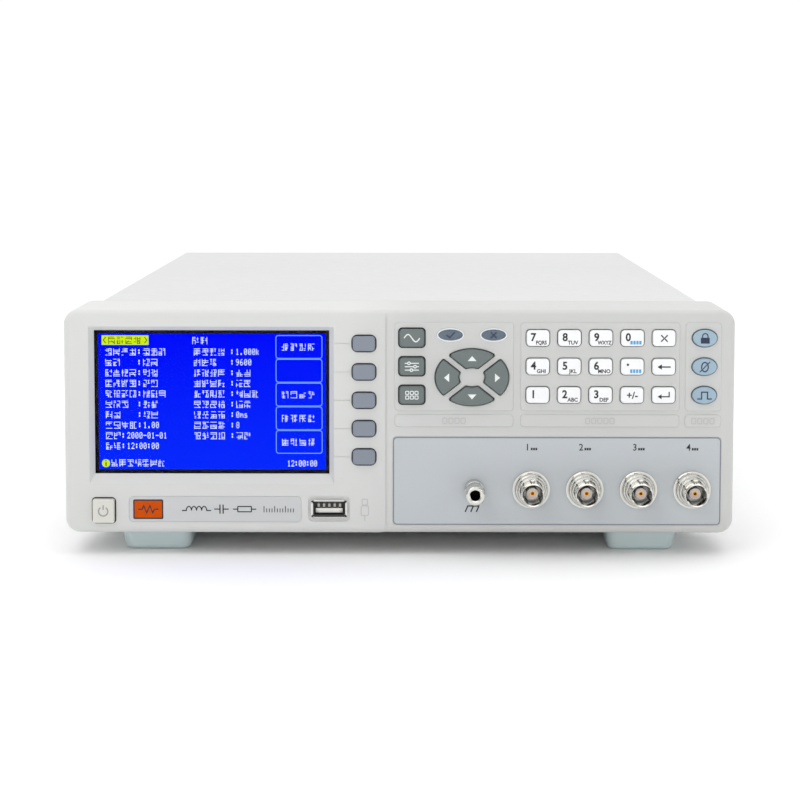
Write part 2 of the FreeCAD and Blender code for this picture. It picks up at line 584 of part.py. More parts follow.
# rear panel with grille, inlet and socket openings
panel_top = z_top - sheet - part_gap
panel_x = cover_x - sheet - part_gap
panel = box(-panel_x, panel_x, y_panel, y_panel + rear_t, floor_z, panel_top)
panel = panel.makeFillet(1.2, [e for e in edges_along(panel, V(0, 1, 0)) if e.BoundBox.ZMin > panel_top - 1])
fan_z = (tray_z + panel_top) / 2
holes = []
reach_r = fan_bore_r - 1.5
for k in range(-4, 5):
    z = fan_z + k * grille_pitch
    half = math.sqrt(reach_r ** 2 - (abs(k * grille_pitch) + grille_slot_h / 2) ** 2)
    for sx in (-1, 1):
        lo, hi = sorted((fan_cx + sx * grille_rib / 2, fan_cx + sx * half))
        holes.append(slab((lo + hi) / 2, z, hi - lo, grille_slot_h, grille_slot_h / 2 - 0.05,
                          y_panel - 1, y_panel + rear_t + 1))
inlet_z = floor_z + tray_back_h + inlet_flange + 1.5 + inlet_h / 2
holes.append(box(inlet_cx - inlet_w / 2 - part_gap, inlet_cx + inlet_w / 2 + part_gap,
                 y_panel - 1, y_panel + rear_t + 1,
                 inlet_z - inlet_h / 2 - part_gap, inlet_z + inlet_h / 2 + part_gap))
dsubs = [(-38.0, 16.3, 30.8), (14.0, 38.3, 53.0)]        # centre, shell width, flange width
dsub_z, dsub_h, dsub_flange_h = floor_z + dsub_cz, 8.3, 12.5
for x, w, f in dsubs:
    holes.append(box(x - w / 2 - part_gap, x + w / 2 + part_gap, y_panel - 1, y_panel + rear_t + 1,
                     dsub_z - dsub_h / 2 - part_gap, dsub_z + dsub_h / 2 + part_gap))
panel = panel.cut(holes)

# ---------------------------------------------------------------- rear sockets
y_back = y_panel + rear_t
socket_parts = []
for x, w, f in dsubs:
    shell = slab(x, dsub_z, w, dsub_h, 2.0, y_panel - 8.0, y_back + socket_reach).cut(
        slab(x, dsub_z, w - 1.0, dsub_h - 1.0, 1.5, y_back + 1.0, y_back + socket_reach))
    flange = slab(x, dsub_z, f, dsub_flange_h, 1.2, y_back, y_back + 0.8)
    core = slab(x, dsub_z, w - 1.0, dsub_h - 1.0, 1.5, y_back + 1.0, y_back + socket_reach - 0.6)
    pitch, count = 2.76, int((w - 4.0) / 2.76)
    pins = []
    for row, n in ((1, count), (-1, count - 1)):
        for k in range(n):
            pins.append(rod(x + (k - (n - 1) / 2) * pitch, dsub_z + row * 1.42, 0.55,
                            y_back + 2.0, y_back + socket_reach))
    socket_parts += [join([shell, flange]), core.cut(pins)]
    for sx in (-1, 1):
        px = x + sx * (f / 2 - 3.0)
        hexa = Part.Face(Part.makePolygon([V(px + 2.7 * math.cos(math.radians(60 * k)), y_back + 0.8,
                                             dsub_z + 2.7 * math.sin(math.radians(60 * k)))
                                           for k in range(7)])).extrude(V(0, 4.4, 0))
        socket_parts.append(hexa.cut(rod(px, dsub_z, 1.3, y_back + 1.4, y_back + socket_reach)))
node("rear_sockets", *socket_parts)

# ---------------------------------------------------------------- mains inlet and its fuse drawer
mouth_z = inlet_z + inlet_h / 2 - 3.0 - inlet_mouth_h / 2
fuse_z = inlet_z - inlet_h / 2 + 2.2 + fuse_h / 2
y_flange = y_back + inlet_flange_t
inlet = join([box(inlet_cx - inlet_w / 2, inlet_cx + inlet_w / 2, y_back - inlet_d, y_back,
                  inlet_z - inlet_h / 2, inlet_z + inlet_h / 2),
              slab(inlet_cx, inlet_z, inlet_w + 2 * inlet_flange, inlet_h + 2 * inlet_flange, 2.5,
                   y_back, y_flange)])
inlet = inlet.cut(slab(inlet_cx, mouth_z, inlet_mouth_w, inlet_mouth_h, 2.5,
                       y_flange - inlet_mouth_d, y_flange + 1))
inlet = inlet.cut(box(inlet_cx - fuse_w / 2 - pivot_fit, inlet_cx + fuse_w / 2 + pivot_fit,
                      y_flange - fuse_d - 0.5, y_flange + 1, fuse_z - fuse_h / 2 - pivot_fit,
                      fuse_z + fuse_h / 2 + pivot_fit))
blades = []
for dx, dz in ((-7.0, -2.0), (7.0, -2.0), (0.0, 2.0)):
    blades.append(box(inlet_cx + dx - 1.0, inlet_cx + dx + 1.0, y_flange - inlet_mouth_d,
                      y_flange - inlet_mouth_d + 15.5, mouth_z + dz - 2.0, mouth_z + dz + 2.0))
    blades.append(box(inlet_cx + dx - 0.4, inlet_cx + dx + 0.4, y_back - inlet_d - 8.0, y_back - inlet_d,
                      mouth_z + dz - 2.4, mouth_z + dz + 2.4))
node("power_inlet", inlet, *blades)
drawer = box(inlet_cx - fuse_w / 2, inlet_cx + fuse_w / 2, y_flange - fuse_d, y_flange + 0.6,
             fuse_z - fuse_h / 2, fuse_z + fuse_h / 2)
drawer = drawer.cut(box(inlet_cx - fuse_w / 2 + 1.2, inlet_cx + fuse_w / 2 - 1.2, y_flange - fuse_d + 1.2,
                        y_flange - 2.0, fuse_z - fuse_h / 2 + 1.2, fuse_z + fuse_h / 2 + 1))
drawer = drawer.cut(box(inlet_cx - 4.0, inlet_cx + 4.0, y_flange - 0.2, y_flange + 1,
                        fuse_z - 0.6, fuse_z + 0.6))
fuse = Part.makeCylinder(2.1, fuse_w - 3.2, V(inlet_cx - fuse_w / 2 + 1.6, y_flange - fuse_d / 2 - 1,
                                              fuse_z + 0.1), V(1, 0, 0))
node("fuse_drawer", drawer, fuse)

# ---------------------------------------------------------------- fan
fan_back = y_panel
fan_front = fan_back - fan_t
s = fan_side / 2
frame = slab(fan_cx, fan_z, fan_side, fan_side, 3.0, fan_front, fan_back).cut(
    rod(fan_cx, fan_z, fan_bore_r, fan_front, fan_back))
motor_t = 6.0
struts = [rod(fan_cx, fan_z, fan_hub_r, fan_front, fan_front + motor_t)]
for k in range(4):
    arm = box(0, fan_bore_r + 1, fan_front, fan_front + 2.5, -1.6, 1.6)
    arm.rotate(V(0, 0, 0), V(0, 1, 0), 45 + 90 * k)
    arm.translate(V(fan_cx, 0, fan_z))
    struts.append(arm)
spindle_r = 1.5
struts.append(rod(fan_cx, fan_z, spindle_r, fan_front + motor_t - 1, fan_front + 18.0))
frame = join([frame] + struts)
rotor_y0, rotor_y1 = fan_front + motor_t + 0.8, fan_back - 2.0
hub = softened(rod(fan_cx, fan_z, fan_hub_r, rotor_y0, rotor_y1), 1.5, rotor_y1)
hub = hub.cut(rod(fan_cx, fan_z, spindle_r + pivot_fit, rotor_y0, fan_front + 18.0 + 0.5))
hub = hub.cut(rod(fan_cx, fan_z, fan_hub_r - 1.5, rotor_y0, rotor_y1 - 5.0).cut(
    rod(fan_cx, fan_z, spindle_r + 2.0, rotor_y0, rotor_y1)))
vanes = []
for k in range(fan_blades):
    r0, r1 = fan_hub_r - 0.6, fan_bore_r - fan_tip_gap
    root, tip_w, lean = 1.0, 1.2, 5.0
    a = [V(r0, rotor_y0 + 1.0, -lean), V(r0, rotor_y1 - 2.5, lean),
         V(r0, rotor_y1 - 2.5, lean + 1.4), V(r0, rotor_y0 + 1.0, -lean + 1.4)]
    b = [V(r1 - 1.6, rotor_y0 + 1.0, -lean * 1.5), V(r1 - 1.6, rotor_y1 - 2.5, lean * 1.5),
         V(r1 - 1.6, rotor_y1 - 2.5, lean * 1.5 + 1.2), V(r1 - 1.6, rotor_y0 + 1.0, -lean * 1.5 + 1.2)]
    vane = Part.makeLoft([Part.makePolygon(a + a[:1]), Part.makePolygon(b + b[:1])], True, True)
    vane.rotate(V(0, 0, 0), V(0, 1, 0), 360.0 / fan_blades * k)
    vane.translate(V(fan_cx, 0, fan_z))
    vanes.append(vane)
node("fan_frame", frame)
node("fan_rotor", join([hub] + vanes))

# ---------------------------------------------------------------- boards and transformer inside
board_y0, board_y1 = y_face + bezel_d + 20.0, y_panel - fan_t - 30.0
board_z = tray_z + main_board_z
mb_x0, mb_x1 = -45.0, tray_x - 8.0
main = box(mb_x0, mb_x1, board_y0, board_y1, board_z, board_z + board_t)
standoffs = [(x, y) for x in (mb_x0 + 6, mb_x1 - 6) for y in (board_y0 + 6, board_y1 - 6)]
comps = [main]
mid_y = (board_y0 + board_y1) / 2
for x, y, w, d, h in ((10, mid_y - 40, 24, 24, 2.5), (55, mid_y - 20, 18, 18, 2.5),
                      (10, mid_y + 30, 30, 12, 4.0), (70, mid_y + 40, 12, 40, 22.0),
                      (-25, mid_y - 60, 20, 10, 12.0), (85, mid_y - 70, 20, 10, 12.0),
                      (-25, mid_y - 20, 10, 28, 6.0), (35, mid_y - 85, 60, 8, 9.0)):
    comps.append(box(x - w / 2, x + w / 2, y - d / 2, y + d / 2, board_z + board_t, board_z + board_t + h))
for k in range(3):
    comps.append(post(-25 + 18 * k, board_y1 - 20, 6.3, board_z + board_t, board_z + board_t + 26))
for x, y in standoffs:
    comps.append(post(x, y, 3.0, tray_z, board_z))
core_x, core_y = -84.0, y_panel - 70.0
core_w, core_d, core_h = 58.0, 34.0, 50.0
core_z = tray_z + 1.5
core = box(core_x - core_w / 2, core_x + core_w / 2, core_y - core_d / 2, core_y + core_d / 2,
           core_z, core_z + core_h)
window = 9.0
for sx in (-1, 1):
    x = core_x + sx * (core_w / 2 - 10 - window / 2)
    core = core.cut(box(x - window / 2, x + window / 2, core_y - core_d, core_y + core_d,
                        core_z + 10, core_z + core_h - 10))
coil_w = core_w - 20
coil = box(core_x - coil_w / 2, core_x + coil_w / 2, core_y - core_d / 2 - 8, core_y + core_d / 2 + 8,
           core_z + 10.5, core_z + core_h - 10.5)
coil = coil.makeFillet(3.0, edges_along(coil, V(0, 0, 1))).cut(core)
strap = join([box(core_x - core_w / 2 - 10, core_x + core_w / 2 + 10, core_y - 9, core_y + 9, tray_z, core_z),
              box(core_x - core_w / 2 - 1.2, core_x - core_w / 2, core_y - 9, core_y + 9, tray_z,
                  core_z + core_h + 1.2),
              box(core_x + core_w / 2, core_x + core_w / 2 + 1.2, core_y - 9, core_y + 9, tray_z,
                  core_z + core_h + 1.2),
              box(core_x - core_w / 2 - 1.2, core_x + core_w / 2 + 1.2, core_y - 9, core_y + 9,
                  core_z + core_h, core_z + core_h + 1.2)])

# ---------------------------------------------------------------- feet and tilt legs
def foot(x, y, top):
    w, d = foot_w, foot_d
    b = box(x - w / 2, x + w / 2, y - d / 2, y + d / 2, 0, top)
    trim = []
    for sx in (-1, 1):
        taper = foot_outer_taper if sx * x > 0 else foot_inner_taper
        pts = [V(x + sx * w / 2, y - d, top), V(x + sx * (w / 2 - taper), y - d, 0),
               V(x + sx * (w / 2 + 2), y - d, 0), V(x + sx * (w / 2 + 2), y - d, top)]
        trim.append(Part.Face(Part.makePolygon(pts + pts[:1])).extrude(V(0, 2 * d, 0)))
    b = b.cut(trim)
    b = b.makeFillet(foot_r, [e for e in b.Edges if e.BoundBox.ZLength > top - 0.1])
    b = b.makeFillet(foot_edge_r, [e for e in b.Edges if e.BoundBox.ZMax < 1e-6])
    return b.cut(post(x, y, head_r + 0.4, -1, 3.6))


feet = []
hub_y = y_face + foot_front + foot_d + leg_hub_r + 1.2
for x, y in feet_pos:
    f = foot(x, y, foot_h)
    for sx in (-1, 1):
        inner_x = x + sx * (leg_w / 2 + mate_gap)
        lo, hi = sorted((inner_x, inner_x + sx * lug_t))
        lug = box(lo, hi, y + foot_d / 2 - foot_r, hub_y + leg_hub_r + 1.0, leg_z - leg_hub_r, foot_h)
        f = f.fuse(lug)
    f = f.cut(Part.makeCylinder(leg_pin_r + pivot_fit, leg_w + 2 * lug_t + 2,
                                V(x - leg_w / 2 - lug_t - 1, hub_y, leg_z), V(1, 0, 0)))
    feet.append(f.removeSplitter())
for x, y in rear_feet_pos:
    feet.append(foot(x, y, floor_z))


def leg(x):
    hub = Part.makeCylinder(leg_hub_r, leg_w, V(x - leg_w / 2, hub_y, leg_z), V(1, 0, 0))
    pin = Part.makeCylinder(leg_pin_r, leg_w + 2 * lug_t, V(x - leg_w / 2 - lug_t, hub_y, leg_z), V(1, 0, 0))
    blade = box(x - leg_w / 2, x + leg_w / 2, hub_y, hub_y + leg_l, leg_z - leg_t / 2, leg_z + leg_t / 2)
    blade = blade.cut(box(x - leg_w / 2 + 4, x + leg_w / 2 - 4, hub_y + leg_hub_r + 4, hub_y + leg_l - 6,
                          leg_z - leg_t, leg_z + leg_t))
    return join([hub, pin, blade])


node("tilt_leg_left", leg(feet_pos[0][0]))
node("tilt_leg_right", leg(feet_pos[1][0]))

# ---------------------------------------------------------------- screws, with the holes they pass through
made["front_bezel"], made["chassis_tray"], made["top_cover"] = [bezel], [tray], [cover]
made["rear_panel"], made["feet"], made["main_board"] = [panel], feet, comps
made["transformer"] = [core, coil, strap]
screws = []


def screw(x, y, z, direction, length, through_nodes):
    """Pan head on the surface at (x, y, z); the shank runs along direction."""
    d = V(*direction)
    at = V(x, y, z)
    head = Part.makeCylinder(head_r, head_h, at - d * head_h, d)
    rim = [e for e in head.Edges if e.CenterOfMass.sub(at - d * head_h).Length < 0.01 and len(e.Vertexes) == 1]
    head = head.makeFillet(head_h * 0.45, rim)
    slot_a = Part.makeBox(3.2, 0.8, 2.0, V(-1.6, -0.4, -1.0))
    slot_b = Part.makeBox(0.8, 3.2, 2.0, V(-0.4, -1.6, -1.0))
    cross = slot_a.fuse(slot_b)
    cross.Placement = FreeCAD.Placement(at - d * head_h, FreeCAD.Rotation(V(0, 0, 1), d))
    shank = Part.makeCylinder(screw_r, length, at, d)
    screws.append(head.cut(cross).fuse(shank))
    hole = Part.makeCylinder(screw_r + screw_fit, length + 0.4, at, d)
    for n in through_nodes:
        made[n] = [s.cut(hole) if s.BoundBox.intersect(hole.BoundBox) else s for s in made[n]]


side_z = floor_z + tray_side_h / 2
for sx in (-1, 1):
    for y in (cover_front + 40.0, y_rear - 40.0):
        screw(sx * cover_x, y, side_z, (-sx, 0, 0), 6.0, ["top_cover", "chassis_tray"])
    screw(sx * (panel_x - 14), y_rear, z_top - lip_h / 2, (0, -1, 0), 6.0, ["top_cover", "rear_panel"])
    screw(sx * (panel_x - 8), y_back, floor_z + tray_back_h / 2, (0, -1, 0), 6.0,
          ["rear_panel", "chassis_tray"])
for x, y in feet_pos + rear_feet_pos:
    front = y < 0
    screw(x, y, 3.6, (0, 0, 1), (floor_z if not front else foot_h) - 3.6 + sheet + (wall if front else 0) + 1.0,
          ["feet", "front_bezel", "chassis_tray"])
for x, z in board_posts:
    screw(x, y_board + board_t, z, (0, -1, 0), 8.0, ["key_board", "front_bezel"])
for x, z in module_posts:
    screw(x, module_back, z, (0, -1, 0), 4.6, ["lcd_module", "front_bezel"])
for x, y in standoffs:
    screw(x, y, board_z + board_t, (0, 0, -1), 6.0, ["main_board"])
for sx in (-1, 1):
    screw(core_x + sx * (core_w / 2 + 6), core_y, core_z, (0, 0, -1), 4.0, ["transformer", "chassis_tray"])
    for sz in (-1, 1):
        screw(fan_cx + sx * (s - 5), y_back, fan_z + sz * (s - 5), (0, -1, 0), 9.0,
              ["rear_panel", "fan_frame"])
made["screws"] = screws

# ---------------------------------------------------------------- one STEP file per piece
for name, shapes in made.items():
    shape = shapes[0] if len(shapes) == 1 else Part.makeCompound(shapes)
    shape.exportStep(os.path.join("parts", name + ".step"))
    print(name, "solids", len(shape.Solids), "valid", shape.isValid())
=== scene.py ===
import json
import math
import random

import bmesh
import bpy
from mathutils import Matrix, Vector


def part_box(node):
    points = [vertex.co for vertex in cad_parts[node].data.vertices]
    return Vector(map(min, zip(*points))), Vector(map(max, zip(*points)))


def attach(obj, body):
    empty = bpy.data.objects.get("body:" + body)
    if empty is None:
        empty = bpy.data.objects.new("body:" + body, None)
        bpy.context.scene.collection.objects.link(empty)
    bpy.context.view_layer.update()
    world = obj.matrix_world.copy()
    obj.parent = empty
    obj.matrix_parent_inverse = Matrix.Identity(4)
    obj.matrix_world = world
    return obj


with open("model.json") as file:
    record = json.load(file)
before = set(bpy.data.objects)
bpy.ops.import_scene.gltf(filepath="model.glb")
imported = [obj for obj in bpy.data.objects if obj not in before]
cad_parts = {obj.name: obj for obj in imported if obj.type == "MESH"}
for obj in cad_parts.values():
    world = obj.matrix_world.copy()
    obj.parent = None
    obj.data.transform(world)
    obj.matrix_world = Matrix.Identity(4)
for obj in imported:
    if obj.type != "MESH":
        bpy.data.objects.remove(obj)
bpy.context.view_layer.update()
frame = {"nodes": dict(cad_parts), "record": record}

scene = bpy.context.scene
MM = 0.001
ROOT = "instrument"
LEFT_PAINTED_LIGHT, PAINTED_LIGHT_FROM_X, PAINTED_LIGHT_TO_X = 0.28, 10 * MM, -20 * MM     # painted light on the bezel's left side: how much lighter, and between which x it sets in
NODES = frame["nodes"]


# ------------------------------------------------------------------ materials
def srgb(*rgb):
    """Linear colour from 0..255 display values."""
    out = []
    for v in rgb:
        v /= 255.0
        out.append(v / 12.92 if v <= 0.04045 else ((v + 0.055) / 1.055) ** 2.4)
    return (*out, 1.0)


class Graph:
    """A small helper round one material's node tree."""

    def __init__(self, name):
        self.mat = bpy.data.materials.new(name)
        self.mat.use_nodes = True
        self.tree = self.mat.node_tree
        self.bsdf = self.tree.nodes["Principled BSDF"]
        self.coord = self.tree.nodes.new("ShaderNodeTexCoord").outputs["Object"]

    def add(self, kind, inputs=(), **attrs):
        n = self.tree.nodes.new(kind)
        for k, v in attrs.items():
            setattr(n, k, v)
        for k, v in dict(inputs).items():
            self.put(n.inputs[k], v)
        return n

    def put(self, socket, value):
        if isinstance(value, bpy.types.NodeSocket):
            self.tree.links.new(value, socket)
        else:
            socket.default_value = value

    def set(self, **inputs):
        for k, v in inputs.items():
            self.put(self.bsdf.inputs[k.replace("_", " ")], v)

    def axis(self, name):
        return self.add("ShaderNodeSeparateXYZ", {"Vector": self.coord}).outputs[name]

    def noise(self, scale, detail=3.0, rough=0.55):
        return self.add("ShaderNodeTexNoise", {"Vector": self.coord, "Scale": scale,
                                               "Detail": detail, "Roughness": rough}).outputs["Fac"]

    def remap(self, value, lo, hi, from_lo=0.3, from_hi=0.7):
        return self.add("ShaderNodeMapRange", {"Value": value, "From Min": from_lo, "From Max": from_hi,
                                               "To Min": lo, "To Max": hi}).outputs["Result"]

    def mix(self, fac, a, b):
        n = self.add("ShaderNodeMix", data_type="RGBA")
        self.put(n.inputs[0], fac)
        self.put(n.inputs[6], a)
        self.put(n.inputs[7], b)
        return n.outputs[2]

    def math(self, op, a, b=0.0):
        n = self.add("ShaderNodeMath", operation=op)
        self.put(n.inputs[0], a)
        self.put(n.inputs[1], b)
        return n.outputs[0]

    def bump(self, height, strength, distance=0.0001, after=None):
        n = self.add("ShaderNodeBump", {"Height": height, "Strength": strength, "Distance": distance})
        if after is not None:
            self.put(n.inputs["Normal"], after)
        return n.outputs["Normal"]


def shade(colour, amount):
    """The colour at this share of its brightness."""
    return tuple(c * amount for c in colour[:3]) + (1.0,)


def moulded(name, colour, rough=0.45, grain=2200.0, strength=0.25, vary=0.04, left=None):
    """Moulded plastic: spark-eroded grain, slow tone drift, uneven gloss; left is painted light, a lighter
    colour blended in towards the left side.
    """
    g = Graph(name)
    slow = g.remap(g.noise(9.0, 2.0), 0.0, 1.0)
    fine = g.noise(grain, 2.0)
    tone = g.mix(slow, shade(colour, 1 - vary), colour)
    # painted light: towards the left the colour turns to the lighter left colour, where the light falls
    if left is not None:
        tone = g.mix(g.remap(g.axis("X"), 0.0, LEFT_PAINTED_LIGHT, PAINTED_LIGHT_FROM_X, PAINTED_LIGHT_TO_X), tone, left)
    g.set(Base_Color=tone,
          Roughness=g.remap(g.noise(320.0, 4.0), rough - 0.05, rough + 0.06),
          Normal=g.bump(fine, strength))
    return g.mat


def painted(name, colour, rough=0.5, vary=0.03):
    """Powder coat on sheet steel: orange peel over a fine texture."""
    g = Graph(name)
    slow = g.remap(g.noise(5.0, 2.0), 0.0, 1.0)
    peel = g.bump(g.noise(700.0, 1.0), 0.12, 0.0002)
    g.set(Base_Color=g.mix(slow, shade(colour, 1 - vary), colour),
          Roughness=g.remap(g.noise(180.0, 4.0), rough - 0.06, rough + 0.06),
          Normal=g.bump(g.noise(3000.0, 2.0), 0.18, 0.0001, peel))
    return g.mat


def metal(name, colour, rough=0.18, lines=(1.0, 1.0, 1.0), scale=900.0, strength=0.08):
    """Plated or rolled metal with fine lines left by turning or rolling."""
    g = Graph(name)
    stretch = g.add("ShaderNodeMapping", {"Vector": g.coord, "Scale": lines}).outputs["Vector"]
    n = g.add("ShaderNodeTexNoise", {"Vector": stretch, "Scale": scale, "Detail": 3.0}).outputs["Fac"]
    g.set(Base_Color=g.mix(g.remap(g.noise(60.0), 0.0, 1.0), shade(colour, 0.9), colour),
          Metallic=1.0, Roughness=g.remap(n, rough * 0.7, rough * 1.4), Normal=g.bump(n, strength))
    return g.mat


def ink(name, colour, rough=0.55):
    """Screen-printed ink: slightly uneven film."""
    g = Graph(name)
    g.set(Base_Color=g.mix(g.remap(g.noise(900.0), 0.0, 1.0), shade(colour, 0.88), colour), Roughness=rough,
          Normal=g.bump(g.noise(4000.0, 2.0), 0.1))
    return g.mat


def lit(name, colour, low=None, strength=1.0):
    """A lit area of the display, made of pixel columns, a little brighter towards its lower edge."""
    g = Graph(name)
    z0, z1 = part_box("lcd_module")[0].z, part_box("lcd_module")[1].z
    tone = g.mix(g.remap(g.axis("Z"), 0.0, 1.0, z0, z1), low or colour, colour)
    wave = g.add("ShaderNodeTexWave", {"Vector": g.coord, "Scale": 800.0}).outputs["Fac"]
    tone = g.mix(g.remap(wave, 0.0, 0.06, 0.0, 1.0), tone, shade(colour, 0.7))
    g.set(Base_Color=(0.0, 0.0, 0.0, 1.0), Roughness=0.6, Emission_Color=tone, Emission_Strength=strength)
    g.bsdf.inputs["Specular IOR Level"].default_value = 0.0
    return g.mat


mats = {
    "soft_key": moulded("m_soft_key", srgb(132, 140, 152), 0.38),
    "dark_key": moulded("m_dark_key", srgb(105, 115, 114), 0.4),
    "blue_key": moulded("m_blue_key", srgb(156, 180, 196), 0.38),
    "white_key": moulded("m_white_key", srgb(246, 247, 248), 0.36),
    "power_button": moulded("m_power_button", srgb(219, 219, 210), 0.42),
    # the bezel's left side gets painted light, a lighter colour towards the left
    "bezel": moulded("m_bezel_painted_light_left", srgb(204, 205, 203), 0.48, left=srgb(240, 241, 236)),
    "name_plate": moulded("m_name_plate", srgb(205, 207, 207), 0.5, 1500.0, 0.12),
    "terminal_plate": painted("m_terminal_plate", srgb(192, 197, 201), 0.45),
    "lens_rim": moulded("m_lens_rim", srgb(240, 243, 246), 0.25),
    "insulator": moulded("m_insulator", srgb(240, 226, 220), 0.5, 900.0, 0.1),
    "gold": metal("m_gold", srgb(226, 176, 92), 0.22),
    "circuit_board": moulded("m_circuit_board", srgb(30, 92, 58), 0.35, 700.0, 0.3, 0.2),
    "black_plastic": moulded("m_black_plastic", srgb(42, 42, 44), 0.45),
    "socket_steel": metal("m_socket_steel", srgb(176, 176, 174), 0.36, (1.0, 8.0, 1.0)),
    "foot": moulded("m_foot", srgb(208, 223, 224), 0.5, 1200.0),
    "zinc_steel": metal("m_zinc_steel", srgb(182, 186, 190), 0.38, (1.0, 12.0, 1.0), 300.0),
    "cover": painted("m_cover", srgb(212, 213, 212), 0.5),
    "rear_panel": painted("m_rear_panel", srgb(200, 201, 201), 0.5),
    "transformer": metal("m_transformer", srgb(88, 84, 82), 0.5, (1.0, 30.0, 1.0), 400.0, 0.4),
    "screw": metal("m_screw", srgb(190, 190, 188), 0.28),
}


BORE_SHADE_R = 1.98 * MM              # painted shadow: dark inside this radius of the ground terminal's axis
RECESS_SHADE_REACH = 2.6 * MM               # reach of the painted shade in grooves and corners


def nickel():
    """Bright nickel with painted shade: darker in its recesses, and a painted shadow darkest down the ground
    terminal's bore.
    """
    g = Graph("m_nickel_painted_shade")
    n = g.noise(500.0, 4.0)
    lo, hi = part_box("ground_post")
    dx = g.math("SUBTRACT", g.axis("X"), (lo.x + hi.x) / 2)
    dz = g.math("SUBTRACT", g.axis("Z"), (lo.z + hi.z) / 2)
    away = g.math("SQRT", g.math("ADD", g.math("MULTIPLY", dx, dx), g.math("MULTIPLY", dz, dz)))
    # painted shadow down the ground terminal's bore
    inside = g.remap(away, 1.0, 0.0, BORE_SHADE_R + 0.04 * MM, BORE_SHADE_R + 0.12 * MM)
    tone = g.mix(g.remap(g.noise(90.0), 0.0, 1.0), srgb(206, 205, 199), srgb(220, 219, 213))
    # painted shade: ambient occlusion darkens the colour in grooves and corners
    ao_for_painted_shade = g.add("ShaderNodeAmbientOcclusion", {"Distance": RECESS_SHADE_REACH}, samples=8).outputs["AO"]
    tone = g.mix(g.remap(ao_for_painted_shade, 1.0, 0.0, 0.35, 0.82), tone, srgb(40, 39, 40))
    g.set(Base_Color=g.mix(inside, tone, srgb(20, 19, 18)), Metallic=1.0,
          Roughness=g.math("ADD", g.remap(n, 0.04, 0.1), g.math("MULTIPLY", inside, 0.25)),
          Normal=g.bump(n, 0.05))
    return g.mat


mats["nickel"] = nickel()


def lens():
    """Smoked blue lens over an unlit lamp."""
    g = Graph("m_lens")
    g.set(Base_Color=g.mix(g.remap(g.noise(400.0), 0.0, 1.0), srgb(66, 84, 100), srgb(78, 97, 113)),
          Roughness=0.2, Coat_Weight=0.6, Coat_Roughness=0.05, Normal=g.bump(g.noise(1500.0), 0.05))
    return g.mat


def window():
    """Clear sheet with hardly any bending of the light behind it."""
    g = Graph("m_window")
    g.set(Base_Color=(1.0, 1.0, 1.0, 1.0), Roughness=g.remap(g.noise(300.0), 0.0, 0.02),
          Transmission_Weight=1.0, IOR=1.06, Normal=g.bump(g.noise(40.0), 0.01))
    return g.mat


def lcd():
    """Black border round the active area, steel frame behind."""
    g = Graph("m_lcd")
    g.set(Base_Color=g.mix(g.remap(g.noise(500.0), 0.0, 1.0), srgb(4, 4, 6), srgb(12, 12, 15)),
          Roughness=0.45, Normal=g.bump(g.noise(900.0), 0.05))
    g.bsdf.inputs["Specular IOR Level"].default_value = 0.15
    return g.mat


mats["lens"], mats["window"], mats["lcd"] = lens(), window(), lcd()
slot_of = {s["node"]: s["material_slot"] for s in frame["record"]["subparts"]}
for name, obj in NODES.items():
    obj.data.materials.clear()
    obj.data.materials.append(mats[slot_of[name]])

INK_DARK = ink("m_ink_dark", srgb(34, 35, 38))
INK_WHITE = ink("m_ink_white", srgb(236, 240, 240))
INK_BLUE = ink("m_ink_blue", srgb(88, 168, 222))
INK_NAVY = ink("m_ink_navy", srgb(34, 48, 78))
# painted shade: grey for the line that stands for the shaded gap round the terminal plate
PLATE_GAP_SHADE = ink("m_plate_gap_shade", srgb(132, 138, 146))
INK_ORANGE = ink("m_ink_orange", srgb(212, 82, 0))
INK_ORANGE.node_tree.nodes["Principled BSDF"].inputs["Specular IOR Level"].default_value = 0.08      # matt
# painted shade: near-black for gaps and slots that lie in shade
PAINTED_SHADE_LINER = moulded("m_painted_shade_liner", srgb(26, 27, 30), 0.6)
RELIEF = moulded("m_relief", srgb(190, 191, 189), 0.5)
RELIEF_LIGHT = moulded("m_relief_light", srgb(160, 160, 155), 0.45)


